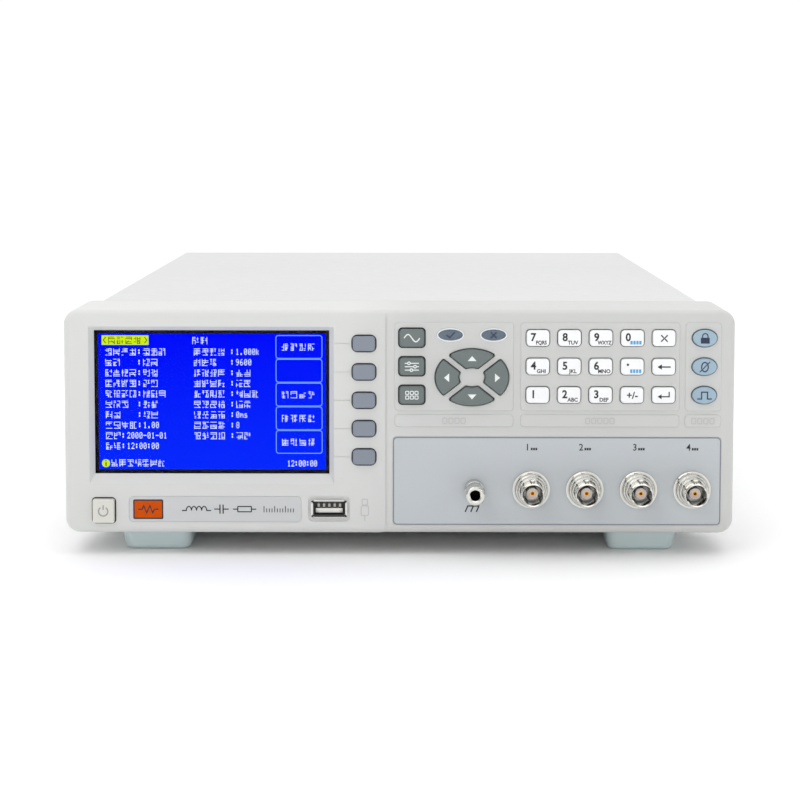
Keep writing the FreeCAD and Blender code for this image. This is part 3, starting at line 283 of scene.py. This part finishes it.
# ------------------------------------------------------------------ flat print and relief
class Print:
    """Flat artwork in an XZ plane facing -Y, made solid by a small thickness.

    Points are (x, z) from the origin (x, z), in the given unit.
    """

    def __init__(self, x=0.0, z=0.0, unit=MM):
        self.x, self.z, self.unit = x, z, unit
        self.faces = []

    def at(self, x, z):
        """Move the origin."""
        self.x, self.z = x, z
        return self

    def poly(self, pts):
        self.faces.append([(self.x + px * self.unit, self.z + pz * self.unit) for px, pz in pts])
        return self

    def rect(self, x, z, w, h):
        x0, x1, z0, z1 = x - w / 2, x + w / 2, z - h / 2, z + h / 2
        return self.poly([(x0, z0), (x1, z0), (x1, z1), (x0, z1)])

    def disc(self, x, z, r, n=24):
        return self.poly([(x + r * math.cos(2 * math.pi * k / n), z + r * math.sin(2 * math.pi * k / n))
                          for k in range(n)])

    def line(self, pts, width, closed=False):
        """A mitred ribbon along the points."""
        pts = [Vector(p) for p in pts]
        n = len(pts)
        left, right = [], []
        for i, p in enumerate(pts):
            a = pts[i - 1] if closed or i > 0 else None
            b = pts[(i + 1) % n] if closed or i < n - 1 else None
            d0 = (p - a).normalized() if a is not None else None
            d1 = (b - p).normalized() if b is not None else None
            d0, d1 = d0 or d1, d1 or d0
            n0, n1 = Vector((-d0.y, d0.x)), Vector((-d1.y, d1.x))
            m = n0 + n1
            m = m / max(m.length_squared, 0.5) * 2 if m.length > 1e-9 else n0
            left.append(p + m * width / 2)
            right.append(p - m * width / 2)
        for i in range(n if closed else n - 1):
            j = (i + 1) % n
            self.poly([right[i], right[j], left[j], left[i]])
        return self

    def lines(self, width, *paths):
        for path in paths:
            self.line(path, width)
        return self

    def ring(self, x, z, r, width, start=0.0, end=360.0, rz=None, n=28):
        rz = rz or r
        full = abs(end - start) >= 360
        k = n if full else n + 1
        pts = [(x + r * math.cos(math.radians(start + (end - start) * i / n)),
                z + rz * math.sin(math.radians(start + (end - start) * i / n))) for i in range(k)]
        return self.line(pts, width, full)

    def frame(self, x, z, w, h, r, width, n=5):
        return self.line(round_rect(x, z, w, h, r, n), width, True)

    def dashes(self, x, z, count, w, h, gap):
        for k in range(count):
            self.rect(x + (k - (count - 1) / 2) * (w + gap), z, w, h)
        return self

    def text(self, text, x, z, height, squeeze=1.0, bold=0.0):
        for f in text_faces(text, x, z, height, squeeze, bold):
            self.poly(f)
        return self

    def build(self, name, mat, y, body, slot, depth=0.03 * MM):
        """y is the surface; the artwork stands depth in front of it."""
        bm = bmesh.new()
        for f in self.faces:
            bm.faces.new([bm.verts.new((p[0], y - depth, p[1])) for p in f])
        bmesh.ops.remove_doubles(bm, verts=bm.verts, dist=1e-7)
        bmesh.ops.recalc_face_normals(bm, faces=bm.faces)
        for f in bm.faces:
            if f.normal.y > 0:
                f.normal_flip()
        geo = bmesh.ops.extrude_face_region(bm, geom=list(bm.faces), use_keep_orig=True)
        new = [v for v in geo["geom"] if isinstance(v, bmesh.types.BMVert)]
        bmesh.ops.translate(bm, verts=new, vec=(0, depth * 0.9, 0))
        back = [f for f in geo["geom"] if isinstance(f, bmesh.types.BMFace)]
        bmesh.ops.reverse_faces(bm, faces=back)
        mesh = bpy.data.meshes.new(name)
        bm.to_mesh(mesh)
        bm.free()
        return finish_piece(name, mesh, mat, body)


def finish_piece(name, mesh, mat, body):
    mesh.materials.clear()
    mesh.materials.append(mat)
    obj = bpy.data.objects.new(name, mesh)
    scene.collection.objects.link(obj)
    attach(obj, body)
    return obj


def blocks(name, at, boxes, mat):
    """Small rectangular blocks, each given by its low and high corner in mm from a point."""
    verts, faces = [], []
    for lo, hi in boxes:
        n = len(verts)
        verts += [tuple(o + p * MM for o, p in zip(at, (x, y, z)))
                  for x in (lo[0], hi[0]) for y in (lo[1], hi[1]) for z in (lo[2], hi[2])]
        faces += [tuple(n + i for i in f) for f in ((0, 1, 3, 2), (4, 6, 7, 5), (0, 4, 5, 1), (2, 3, 7, 6),
                                                    (0, 2, 6, 4), (1, 5, 7, 3))]
    mesh = bpy.data.meshes.new(name)
    mesh.from_pydata(verts, [], faces)
    return finish_piece(name, mesh, mat, ROOT)


def round_rect(x, z, w, h, r, n=5):
    pts = []
    for cx, cz, a0 in ((x + w / 2 - r, z - h / 2 + r, -90), (x + w / 2 - r, z + h / 2 - r, 0),
                       (x - w / 2 + r, z + h / 2 - r, 90), (x - w / 2 + r, z - h / 2 + r, 180)):
        for k in range(n + 1):
            a = math.radians(a0 + 90 * k / n)
            pts.append((cx + r * math.cos(a), cz + r * math.sin(a)))
    return pts


CAP = 0.69              # height of a capital in type of size 1


def text_faces(text, x, z, height, squeeze=1.0, bold=0.0):
    """Outline of generic characters as flat polygons, centred on (x, z)."""
    cu = bpy.data.curves.new("glyph", "FONT")
    cu.body = text
    cu.size = 1.0
    cu.offset = bold
    cu.resolution_u = 3
    ob = bpy.data.objects.new("glyph", cu)
    scene.collection.objects.link(ob)
    mesh = bpy.data.meshes.new_from_object(ob.evaluated_get(bpy.context.evaluated_depsgraph_get()))
    co = [v.co.copy() for v in mesh.vertices]
    mid = (min(c.x for c in co) + max(c.x for c in co)) / 2
    s = height / CAP
    out = [[(x + (co[i].x - mid) * s * squeeze, z + (co[i].y - CAP / 2) * s) for i in f.vertices]
           for f in mesh.polygons]
    bpy.data.objects.remove(ob)
    bpy.data.curves.remove(cu)
    bpy.data.meshes.remove(mesh)
    return out


def centre(node):
    lo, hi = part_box(node)
    return (lo.x + hi.x) / 2, (lo.z + hi.z) / 2


def face_y(node):
    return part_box(node)[0].y


def on(node):
    """Artwork with its origin at the node's centre."""
    return Print(*centre(node))


def tip_box(node, deep=1.0 * MM):
    """Centre, and width and height in mm, of a key's cap: the part within deep of its face."""
    front = face_y(node) + deep
    pts = [NODES[node].matrix_world @ v.co for v in NODES[node].data.vertices]
    xs = [p.x for p in pts if p.y < front]
    zs = [p.z for p in pts if p.y < front]
    return ((min(xs) + max(xs)) / 2, (min(zs) + max(zs)) / 2,
            (max(xs) - min(xs)) / MM, (max(zs) - min(zs)) / MM)


# ------------------------------------------------------------------ display contents
RIM, BORDER = 3.1 * MM, 1.3 * MM        # window's rim, and black border inside it
COLS, ROWS = 480.0, 272.0               # the display's own grid, which the places below count in
SCREEN_Y = face_y("lcd_module")
win_lo, win_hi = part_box("display_window")
act_x0, act_x1 = win_lo.x + RIM + BORDER, win_hi.x - RIM - BORDER
act_z0, act_z1 = win_lo.z + RIM + BORDER, win_hi.z - RIM - BORDER
act_w, act_h = act_x1 - act_x0, act_z1 - act_z0
PX, PZ = act_w / COLS, act_h / ROWS


def sx(col):
    return act_x0 + act_w * col / COLS


def sz(row):
    return act_z1 - act_h * row / ROWS


def screen(art, name, mat, depth, lift=0.02):
    art.build(name, mat, SCREEN_Y - lift * MM, ROOT, "lcd", depth * MM)


field = Print(unit=1.0).rect((act_x0 + act_x1) / 2, (act_z0 + act_z1) / 2, act_w, act_h)
screen(field, "screen_field", lit("m_screen_blue", srgb(0, 2, 252), srgb(4, 44, 255)), 0.015, 0.0)

DIGITS = {
    "0": "01110100011001110101110011000101110", "1": "00100011000010000100001000010001110",
    "2": "01110100010000100010001000100011111", "3": "11111000100010000010000011000101110",
    "4": "00010001100101010010111110001000010", "5": "11111100001111000001000011000101110",
    "6": "00110010001000011110100011000101110", "7": "11111000010001000100010000100001000",
    "8": "01110100011000101110100011000101110", "9": "01110100011000101111000010001001100",
    ":": "00000011000110000000011000110000000", ".": "00000000000000000000000000110001100",
    "-": "00000000000000011111000000000000000", "k": "10000100001001010100110001010010010",
    "m": "00000000001101010101101011000110001", "s": "00000000000111010000011100000111110",
}
DOT_COLS = 5


def digits(art, text, col, row, w=8, h=16):
    """Numbers in a five by seven dot pattern, one cell per character."""
    ux, uz = w / 6.2, h / 9.0
    for i, ch in enumerate(text):
        for k, bit in enumerate(DIGITS[ch]):
            if bit == "1":
                r, c = divmod(k, DOT_COLS)
                art.rect(sx(col + i * w + (c + 0.9) * ux), sz(row + (r + 1.4) * uz),
                         PX * ux * 1.02, PZ * uz * 1.02)


STROKE = 1.15           # stroke width of a sign
LEVELS = (1.0, 4.0, 7.2, 10.4, 13.6)
HALVES = (((0.8, 5.4), (7.2, 14.2)), ((0.8, 14.2),), ((0.8, 7.6), (9.4, 14.2)))


def mark(art, col, row, rng):
    """One made-up sign: strokes in one or two parts of a square cell, no script in particular."""
    for x0, x1 in HALVES[rng.randrange(3)]:
        wide, mid = x1 - x0, (x0 + x1) / 2
        for level in rng.sample(LEVELS, 2 if wide < 6 else rng.choice((3, 4))):
            cut = rng.choice((0.0, 0.0, 0.25)) * wide
            art.rect(sx(col + mid), sz(row + level), PX * (wide - cut), PZ * STROKE)
        for c in rng.sample((x0 + 0.6, mid, x1 - 0.6), 1 if wide < 6 else 2):
            a, b = rng.choice(((0.5, 14.5), (0.5, 7.5), (6.5, 14.5)))
            art.rect(sx(col + c), sz(row + (a + b) / 2), PX * STROKE, PZ * (b - a))
        if wide > 6 and rng.random() < 0.7:
            way = rng.choice((-1, 1))
            art.line([(sx(col + mid), sz(row + 8)), (sx(col + mid + way * wide * 0.42), sz(row + 14))],
                     PX * STROKE)


rng = random.Random(28)
MARK_STEP = 17.0        # from one sign of a word to the next
# signs before the colon, then the value, in which # is a sign
LEFT_ROWS = ((4, "###"), (2, "##"), (4, "##"), (4, "##"), (4, "###"), (3, "##"), (2, "##"), (4, "1.00"),
             (2, "2000-01-01"), (2, "12:00:00"))
RIGHT_ROWS = ((4, "1.000k"), (3, "9600"), (4, "##"), (4, "##"), (4, "###"), (4, "##"), (4, "0ms"), (4, "8"),
              (4, "##"))
ROW_TOP, ROW_STEP = 29.6, 20.95
LEFT_COL, LEFT_COLON = 14, 83
SHORT_COLON, SHORT_FROM = 48, 8         # the last rows have their colon further left
RIGHT_COL, RIGHT_COLON = 201, 279
VALUE_GAP = 11                          # from the colon to the value
VALUE_STEP, CHAR_STEP = 16.5, 8.6       # from one sign or digit of a value to the next


def write(art, count, value, col, colon, row):
    """A row of the list: its name, a colon and the value."""
    for k in range(count):
        mark(art, col + k * MARK_STEP, row, rng)
    digits(art, ":", colon, row - 1)
    for i, ch in enumerate(value):
        if ch == "#":
            mark(art, colon + VALUE_GAP + i * VALUE_STEP, row, rng)
        else:
            digits(art, ch, colon + VALUE_GAP + i * CHAR_STEP, row - 1)


text = Print(unit=1.0)
for i, (count, value) in enumerate(LEFT_ROWS):
    write(text, count, value, LEFT_COL, LEFT_COLON if i < SHORT_FROM else SHORT_COLON, ROW_TOP + ROW_STEP * i)
for i, (count, value) in enumerate(RIGHT_ROWS):
    write(text, count, value, RIGHT_COL, RIGHT_COLON, ROW_TOP + ROW_STEP * i)
for col, row in ((198, 7), (216, 7)):                       # heading of the right column
    mark(text, col, row, rng)
for k in range(7):                                          # hint in the bottom line
    mark(text, 25 + k * VALUE_STEP, 252, rng)
digits(text, "12:00:00", 398, 252)

# labels of the display keys, one box each
BOX_TOP, BOX_H, BOX_W, BOX_X = 3.0, 47.5, 97.0, 423.5
BOX_MARKS = (4, 0, 4, 4, 4)
boxes = Print(unit=1.0)
for i, count in enumerate(BOX_MARKS):
    middle = BOX_TOP + BOX_H * (i + 0.5)
    for k in range(count):
        mark(text, BOX_X + (k - count / 2) * 18.5, middle - 7, rng)
    boxes.frame(sx(BOX_X), sz(middle), PX * BOX_W, PZ * (BOX_H - 2.0), 1.0 * MM, PX * 1.7)
screen(text, "screen_text", lit("m_screen_text", srgb(226, 240, 255)), 0.012)
screen(boxes, "screen_boxes", lit("m_screen_line", srgb(120, 170, 255)), 0.012)

# title bar with brackets round its word, and the hint's round sign
TITLE_X, TITLE_W, BRACKET = 57, 99, 5.0
SIGN_X, SIGN_R = 14, 8.6
title = Print(unit=1.0).rect(sx(TITLE_X), sz(13.5), PX * TITLE_W, PZ * 19)
title.disc(sx(SIGN_X), sz(260), PX * SIGN_R)
screen(title, "screen_title_bar", lit("m_screen_lime", srgb(206, 236, 20)), 0.008)
dark = Print(unit=1.0)
for k in range(4):
    mark(dark, 21 + k * 18.0, 6.5, rng)
for side, x in ((-1, 16.0), (1, 98.0)):
    dark.line([(sx(x), sz(7.5)), (sx(x + side * BRACKET), sz(13.5)), (sx(x), sz(19.5))], PX * 1.5)
dark.rect(sx(SIGN_X), sz(262), PX * 2.2, PZ * 8).rect(sx(SIGN_X), sz(255.2), PX * 2.2, PZ * 2.2)
screen(dark, "screen_title_text", lit("m_screen_dark", srgb(20, 40, 40)), 0.012, 0.03)


# ------------------------------------------------------------------ key legends, in mm from each key's centre
def legend(name, node, art, mat, slot):
    return art.build(name, mat, face_y(node), node + "_body", slot)


LETTERS = {"key_2": "ABC", "key_3": "DEF", "key_4": "GHI", "key_5": "JKL", "key_6": "MNO",
           "key_7": "PQRS", "key_8": "TUV", "key_9": "WXYZ"}
DIGIT_X, DIGIT_Z, DIGIT_H = -1.85, 0.5, 3.1             # large digit, upper left
WORD_X, WORD_Z, WORD_H = 1.35, -1.75, 1.5               # small letters, lower right
for d in "0123456789":
    node = "key_" + d
    art = on(node).text(d, DIGIT_X, DIGIT_Z, DIGIT_H, 0.95, 0.03)
    word = LETTERS.get(node)
    if word:
        art.text(word, WORD_X, WORD_Z, WORD_H, 1.0 if len(word) < 4 else 0.85, 0.03)
    legend("legend_" + d, node, art, INK_DARK, "white_key")
for node in ("key_0", "key_point"):
    legend("mark_" + node, node, on(node).dashes(1.3, WORD_Z, 4, 0.95, WORD_H, 0.25), INK_BLUE, "white_key")

THIN, FINE, STOUT = 0.45, 0.4, 0.5                      # widths of strokes
legend("legend_point", "key_point", on("key_point").disc(-1.9, 0.9, 0.5), INK_DARK, "white_key")
legend("legend_sign", "key_sign", on("key_sign").text("+/-", 0, 0.1, 2.7, 1.0, 0.02), INK_DARK, "white_key")
art = on("back_key").rect(0.9, 0, 3.6, 0.55).poly([(-2.7, 0), (-0.9, -1.1), (-0.9, 1.1)])
legend("legend_back", "back_key", art, INK_DARK, "white_key")


def cross(art, arm, width):
    """Two strokes that cross, the second one broken at the crossing."""
    near = 0.25
    return art.lines(width, [(-arm, -arm), (arm, arm)], [(-arm, arm), (-near, near)],
                     [(near, -near), (arm, -arm)])


legend("legend_cancel", "cancel_key", cross(on("cancel_key"), 1.35, STOUT), INK_DARK, "white_key")
art = on("enter_key").line([(2.2, 1.5), (2.2, -0.5), (-1.0, -0.5)], STOUT)
art.poly([(-2.5, -0.5), (-0.9, -1.5), (-0.9, 0.5)])
legend("legend_enter", "enter_key", art, INK_DARK, "white_key")

# function keys: wave, sliders, tiles
WAVE_W, WAVE_H, WAVE_STEPS = 6.4, 1.5, 20
wave = [((t / WAVE_STEPS - 0.5) * WAVE_W, WAVE_H * math.sin(2 * math.pi * t / WAVE_STEPS))
        for t in range(WAVE_STEPS + 1)]
legend("legend_measure", "measure_key", on("measure_key").line(wave, STOUT), INK_WHITE, "dark_key")
SLIDER_END, KNOB_GAP, KNOB_R = 2.9, 0.75, 0.55
art = on("setup_key")
for z, knob in ((1.4, -1.2), (0.0, 1.3), (-1.4, -0.2)):
    art.lines(FINE, [(-SLIDER_END, z), (knob - KNOB_GAP, z)], [(knob + KNOB_GAP, z), (SLIDER_END, z)])
    art.ring(knob, z, KNOB_R, FINE, n=12)
legend("legend_setup", "setup_key", art, INK_WHITE, "dark_key")
art = on("system_key")
for x in (-1.9, 0.0, 1.9):
    for z in (-0.95, 0.95):
        art.frame(x, z, 1.3, 1.3, 0.25, 0.35, 2)
legend("legend_system", "system_key", art, INK_WHITE, "dark_key")

# arrow keys: triangles on the axes of their ring
nav_x = (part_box("arrow_left_key")[0].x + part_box("arrow_right_key")[1].x) / 2
nav_z = (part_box("arrow_down_key")[0].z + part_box("arrow_up_key")[1].z) / 2
NAV_RX, NAV_RZ = 10.4, 7.9
ALONG, ACROSS = 1.05, 1.8
for way, dx, dz in (("up", 0, 1), ("down", 0, -1), ("left", -1, 0), ("right", 1, 0)):
    node = "arrow_%s_key" % way
    art = Print(nav_x + dx * NAV_RX * MM, nav_z + dz * NAV_RZ * MM)
    art.poly([(dx * ALONG, dz * ALONG), (-dx * ALONG - dz * ACROSS, -dz * ALONG + dx * ACROSS),
              (-dx * ALONG + dz * ACROSS, -dz * ALONG - dx * ACROSS)])
    legend("legend_" + node, node, art, INK_WHITE, "dark_key")

# oval keys: padlock, slashed zero, pulse
SHACKLE_R, SHACKLE_Z = 1.1, 0.9
arch = [(SHACKLE_R * math.cos(math.radians(a)), SHACKLE_Z + SHACKLE_R * math.sin(math.radians(a)))
        for a in range(180, -1, -20)]
art = on("lock_key").rect(0, -0.9, 3.6, 2.4)
art.line([(-SHACKLE_R, 0.3)] + arch + [(SHACKLE_R, 0.3)], THIN)
legend("legend_lock", "lock_key", art, INK_NAVY, "blue_key")
art = on("zero_key").ring(0, 0, 1.35, STOUT, rz=1.9)
art.lines(0.42, [(-2.1, -2.1), (-1.25, -1.25)], [(-0.75, -0.85), (0.75, 0.85)], [(1.25, 1.25), (2.1, 2.1)])
legend("legend_zero", "zero_key", art, INK_NAVY, "blue_key")
PULSE_W, PULSE_H, PULSE_END = 1.2, 1.4, 3.0
pulse = [(-PULSE_END, -PULSE_H), (-PULSE_W, -PULSE_H), (-PULSE_W, PULSE_H),
         (PULSE_W, PULSE_H), (PULSE_W, -PULSE_H), (PULSE_END, -PULSE_H)]
legend("legend_trigger", "trigger_key", on("trigger_key").line(pulse, STOUT), INK_NAVY, "blue_key")

# pass and fail lenses: tick and cross
LENS_HALF, LENS_STROKE = 5.0 * MM, 0.55
lens_lo, lens_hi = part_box("indicator_lenses")
lens_z = (lens_lo.z + lens_hi.z) / 2
tick = Print(lens_lo.x + LENS_HALF, lens_z).line([(-1.7, 0.1), (-0.4, -1.1), (1.9, 1.4)], LENS_STROKE)
tick.build("legend_pass", INK_NAVY, lens_lo.y, ROOT, "lens")
cross(Print(lens_hi.x - LENS_HALF, lens_z), 1.2, LENS_STROKE).build(
    "legend_fail", INK_NAVY, lens_lo.y, ROOT, "lens")

# painted shade: a thin dark liner round the display keys, the power button and the function keys, where the
# gaps round them lie in shade
SHADE_LINER_OUT, SHADE_LINER_W, SHADE_LINER_T = 0.32, 0.5, 0.05 * MM      # centre line out from the cap, width, thickness
PAD_BACK = 0.3 * MM                                     # the key pads' face, behind the bezel's front
bezel_lo, bezel_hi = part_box("front_bezel")
SHADE_LINED_KEYS = ([("softkey_%d" % k, 2.0, 0.0) for k in range(1, 6)] + [("power_button", 1.2, 0.0)] +
         [(n + "_key", 1.2, PAD_BACK) for n in ("measure", "setup", "system")])
for node, corner, back in SHADE_LINED_KEYS:
    x, z, w, h = tip_box(node)
    art = Print(x, z).frame(0, 0, w + 2 * SHADE_LINER_OUT, h + 2 * SHADE_LINER_OUT, corner + SHADE_LINER_OUT, SHADE_LINER_W)
    art.build("painted_shade_liner_" + node, PAINTED_SHADE_LINER, bezel_lo.y + back, ROOT, "black_plastic", SHADE_LINER_T)

# raised power symbol
POWER_R, POWER_STROKE = 1.9, 0.6
art = on("power_button").ring(0, 0, POWER_R, POWER_STROKE, 125, 415).line([(0, 0.6), (0, 2.6)], POWER_STROKE)
legend("power_symbol", "power_button", art, RELIEF_LIGHT, "power_button")

# ------------------------------------------------------------------ panel marks
plate_lo, plate_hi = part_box("terminal_plate")
plate_w, plate_h = (plate_hi.x - plate_lo.x) / MM, (plate_hi.z - plate_lo.z) / MM
# painted shade: a grey line just inside the terminal plate's edge, where the gap round it lies in shade
on("terminal_plate").frame(0, 0, plate_w - 0.5, plate_h - 0.5, 1.5, 0.4).build(
    "plate_gap_shade_line", PLATE_GAP_SHADE, plate_lo.y, ROOT, "terminal_plate")

# chassis sign under the ground terminal, numbers over the four others
post_x, post_z = centre("ground_post")
art = Print(post_x, post_z - 6.9 * MM)
art.line([(-0.4, 1.8), (-0.4, 0)], 0.5).line([(-2.9, 0), (2.1, 0)], 0.55)
for x in (-2.7, -0.4, 1.9):
    art.line([(x, -0.2), (x - 1.0, -2.5)], 0.55)
FLANGE_R = 7.7 * MM
TERMINALS = 4
bnc_lo, bnc_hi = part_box("bnc_bodies")
pitch = (bnc_hi.x - bnc_lo.x - 2 * FLANGE_R) / (TERMINALS - 1)
label_z = plate_hi.z - 4.3 * MM
for i in range(TERMINALS):
    art.at(bnc_lo.x + FLANGE_R + pitch * i, label_z)
    art.text(str(i + 1), -1.6, 0.2, 2.7, 0.95, 0.01).dashes(1.1, -0.6, 3, 0.75, 1.0, 0.2)
art.build("plate_print", INK_DARK, plate_lo.y, ROOT, "terminal_plate")

# raised marks on the label strips, one row under each group of keys
STRIP_DOWN, STRIP_T, TILE_STEP = 45.5 * MM, 0.12 * MM, 2.5
art = Print()
for node, dx, count in (("setup_key", 17.3, 4), ("key_4", 25.6, 5), ("zero_key", -0.35, 4)):
    art.at(centre(node)[0] + dx * MM, bezel_hi.z - STRIP_DOWN)
    for k in range(count):
        art.frame((k - (count - 1) / 2) * TILE_STEP, 0, 1.7, 2.2, 0.4, 0.4, 3)
art.build("strip_relief", RELIEF, bezel_lo.y + PAD_BACK, ROOT, "bezel", STRIP_T)

# name strip: blank colour field and component symbols
name_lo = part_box("name_plate")[0]
name_z = centre("name_plate")[1]
FIELD_X, FIELD_W, FIELD_H = 7.8, 11.6, 7.4
Print(name_lo.x, name_z).rect(FIELD_X, -0.1, FIELD_W, FIELD_H).build(
    "colour_field", INK_ORANGE, name_lo.y, ROOT, "name_plate")
art = Print(name_lo.x + FIELD_X * MM, name_z).frame(0, -0.1, FIELD_W + 0.2, FIELD_H + 0.2, 0.3, 0.6, 2)
ZIGZAG_W, ZIGZAG_H = 8.4, 1.5
zigzag = ((-0.5, 0), (-0.3, 0), (-0.22, 1), (-0.08, -1), (0.08, 1), (0.22, -1), (0.3, 0), (0.5, 0))
art.line([(a * ZIGZAG_W, -0.1 + b * ZIGZAG_H) for a, b in zigzag], 0.5)
art.at(name_lo.x + 23.5 * MM, name_z)                       # coil
for k in range(4):
    art.ring(k * 2.1 + 1.05, -0.6, 1.05, THIN, 0, 180, n=12, rz=1.7)
art.lines(THIN, [(-1.8, -0.6), (0.2, -0.6)], [(8.2, -0.6), (10.2, -0.6)])
art.at(name_lo.x + 38.0 * MM, name_z)                       # capacitor
art.lines(THIN, [(-3.0, 0), (-0.65, 0)], [(0.65, 0), (3.0, 0)])
art.lines(0.5, [(-0.65, -1.9), (-0.65, 1.9)], [(0.65, -1.9), (0.65, 1.9)])
art.at(name_lo.x + 47.5 * MM, name_z).frame(0, 0, 5.6, 2.2, 0.15, THIN, 2)      # resistor
art.lines(THIN, [(-2.9, 0), (-4.8, 0)], [(2.9, 0), (4.8, 0)])
art.at(name_lo.x + 55.5 * MM, name_z)                       # scale, every fourth line long
for k in range(12):
    drop, length = (0.0, 2.6) if k % 4 == 0 else (0.5, 1.6)
    art.rect(k * 1.1, -drop, 0.32, length)
art.build("name_print", INK_DARK, name_lo.y - 0.002 * MM, ROOT, "name_plate", 0.045 * MM)

# faint plug symbol beside the USB socket
usb_lo, usb_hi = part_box("usb_socket")
usb_x, usb_z = centre("usb_socket")
art = Print(usb_hi.x + 7.2 * MM, usb_z).frame(0, 2.9, 2.2, 2.4, 0.3, 0.35, 2)
art.frame(0, -0.7, 3.0, 4.0, 0.5, 0.35, 3).line([(0, -2.9), (0, -5.0)], 0.4)
art.build("plug_symbol", RELIEF, bezel_lo.y, ROOT, "bezel", 0.08 * MM)

# inside the USB socket, in mm from the middle of its mouth: contacts on the tongue, dark plates of painted
# shade across the throat, springs
HALF_W, HALF_H = 6.25, 2.56
TONGUE_LO = -HALF_H + 0.75
TONGUE_HI = TONGUE_LO + 1.84
CONTACT_STEP, SPRING_STEP = 2.3, 2.2
mouth = (usb_x, usb_lo.y + 2.2 * MM, usb_z)
blocks("usb_contacts", mouth, [((x - 0.5, 1.6, TONGUE_HI), (x + 0.5, 6.0, TONGUE_HI + 0.12))
                               for x in ((k - 1.5) * CONTACT_STEP for k in range(4))], mats["gold"])
# painted shade: thin dark plates across the open cavity above and below the tongue
blocks("usb_throat_shade", mouth,
       [((0.1 - HALF_W, 1.2, TONGUE_HI + 0.15), (HALF_W - 0.1, 1.5, HALF_H - 0.1)),
        ((0.1 - HALF_W, 1.2, 0.05 - HALF_H), (HALF_W - 0.1, 1.5, TONGUE_LO - 0.02))],
       mats["black_plastic"])
blocks("usb_springs", mouth, [((x - 0.45, 0.7, TONGUE_HI + 0.35), (x + 0.45, 1.1, HALF_H - 0.15))
                              for x in (k * SPRING_STEP for k in range(-2, 3))],
       mats["socket_steel"])
# painted shade: a dark frame just inside the socket's mouth and dark bars at its corners, where its slots lie
# in shade
art = Print(usb_x, usb_z).frame(0, 0, 2 * HALF_W - 0.3, 2 * HALF_H - 0.3, 0.3, 0.3, 2)
for right in (-1, 1):
    for up in (-1, 1):
        art.line([(right * (HALF_W + 0.1), up * (HALF_H + 0.05)),
                  (right * (HALF_W + 0.9), up * (HALF_H + 0.75))], 0.6)
art.build("usb_slot_shade", PAINTED_SHADE_LINER, usb_lo.y + 0.2 * MM, ROOT, "black_plastic", 0.25 * MM)

# ------------------------------------------------------------------ smooth shading on the CAD pieces
for obj in NODES.values():
    obj.data.polygons.foreach_set("use_smooth", [True] * len(obj.data.polygons))

# ------------------------------------------------------------------ floor, light, camera
FLOOR = 60.0
mesh = bpy.data.meshes.new("floor")
mesh.from_pydata([(-FLOOR, -FLOOR, 0), (FLOOR, -FLOOR, 0), (FLOOR, FLOOR, 0), (-FLOOR, FLOOR, 0)],
                 [], [(0, 1, 2, 3)])
floor_graph = Graph("m_floor")
floor_graph.set(Base_Color=floor_graph.mix(floor_graph.remap(floor_graph.noise(3.0), 0.0, 1.0),
                                           srgb(250, 250, 250), srgb(252, 252, 252)), Roughness=0.9)
mesh.materials.append(floor_graph.mat)
floor = bpy.data.objects.new("floor", mesh)
scene.collection.objects.link(floor)

FRONT_DIM, REAR, OVERHEAD = 0.2, 1.05, 1.75      # dim room behind the camera, bright ceiling
world = bpy.data.worlds.new("studio")
scene.world = world
world.use_nodes = True
nt = world.node_tree
coord = nt.nodes.new("ShaderNodeTexCoord")
split = nt.nodes.new("ShaderNodeSeparateXYZ")
nt.links.new(coord.outputs["Generated"], split.inputs["Vector"])


def sky_ramp(axis, lo, hi, out_lo, out_hi):
    """World brightness that goes smoothly from out_lo to out_hi between two places on an axis."""
    node = nt.nodes.new("ShaderNodeMapRange")
    node.interpolation_type = "SMOOTHSTEP"
    for key, value in (("From Min", lo), ("From Max", hi)):
        node.inputs[key].default_value = value
    for key, value in (("To Min", out_lo), ("To Max", out_hi)):
        if isinstance(value, bpy.types.NodeSocket):
            nt.links.new(value, node.inputs[key])
        else:
            node.inputs[key].default_value = value
    nt.links.new(split.outputs[axis], node.inputs["Value"])
    return node.outputs["Result"]


around = sky_ramp("Y", -0.45, 0.2, FRONT_DIM, REAR)
nt.nodes["Background"].inputs["Color"].default_value = (1.0, 1.0, 1.0, 1.0)
nt.links.new(sky_ramp("Z", 0.66, 0.94, around, OVERHEAD), nt.nodes["Background"].inputs["Strength"])


def area(name, at, to, size, power, size_y=None):
    data = bpy.data.lights.new(name, "AREA")
    data.shape = "RECTANGLE"
    data.size, data.size_y = size, size_y or size
    data.energy = power
    ob = bpy.data.objects.new(name, data)
    ob.location = at
    ob.rotation_mode = "QUATERNION"
    ob.rotation_quaternion = (Vector(to) - Vector(at)).to_track_quat("-Z", "Y")
    scene.collection.objects.link(ob)
    return ob


AIM = (0, -0.1, 0.05)
area("key_light", (-0.8, -1.3, 1.2), AIM, 1.0, 5.5)
area("fill_light", (1.2, -1.1, 0.6), AIM, 0.8, 2.6)
area("low_light", (-0.1, -1.7, 0.3), (0, -0.2, 0.0), 1.6, 4.0, 0.35)

cam_data = bpy.data.cameras.new("camera")
cam = bpy.data.objects.new("camera", cam_data)
scene.collection.objects.link(cam)
cam_data.sensor_width = 36.0
cam_data.lens = 92.48
cam_data.shift_x, cam_data.shift_y = 0.0025, -0.1333
CAM_X, CAM_AWAY, CAM_Z = 3.67, 835.7, 177.06             # mm; away from the bezel's front
CAM_DOWN, CAM_ROLL, CAM_TURN = 4.695, -0.04, 0.289       # degrees
cam.location = (CAM_X * MM, bezel_lo.y - CAM_AWAY * MM, CAM_Z * MM)
cam.rotation_euler = (math.radians(90 - CAM_DOWN), math.radians(CAM_ROLL), math.radians(CAM_TURN))
cam_data.clip_end = 20.0
scene.camera = cam
scene.view_settings.view_transform = "Standard"
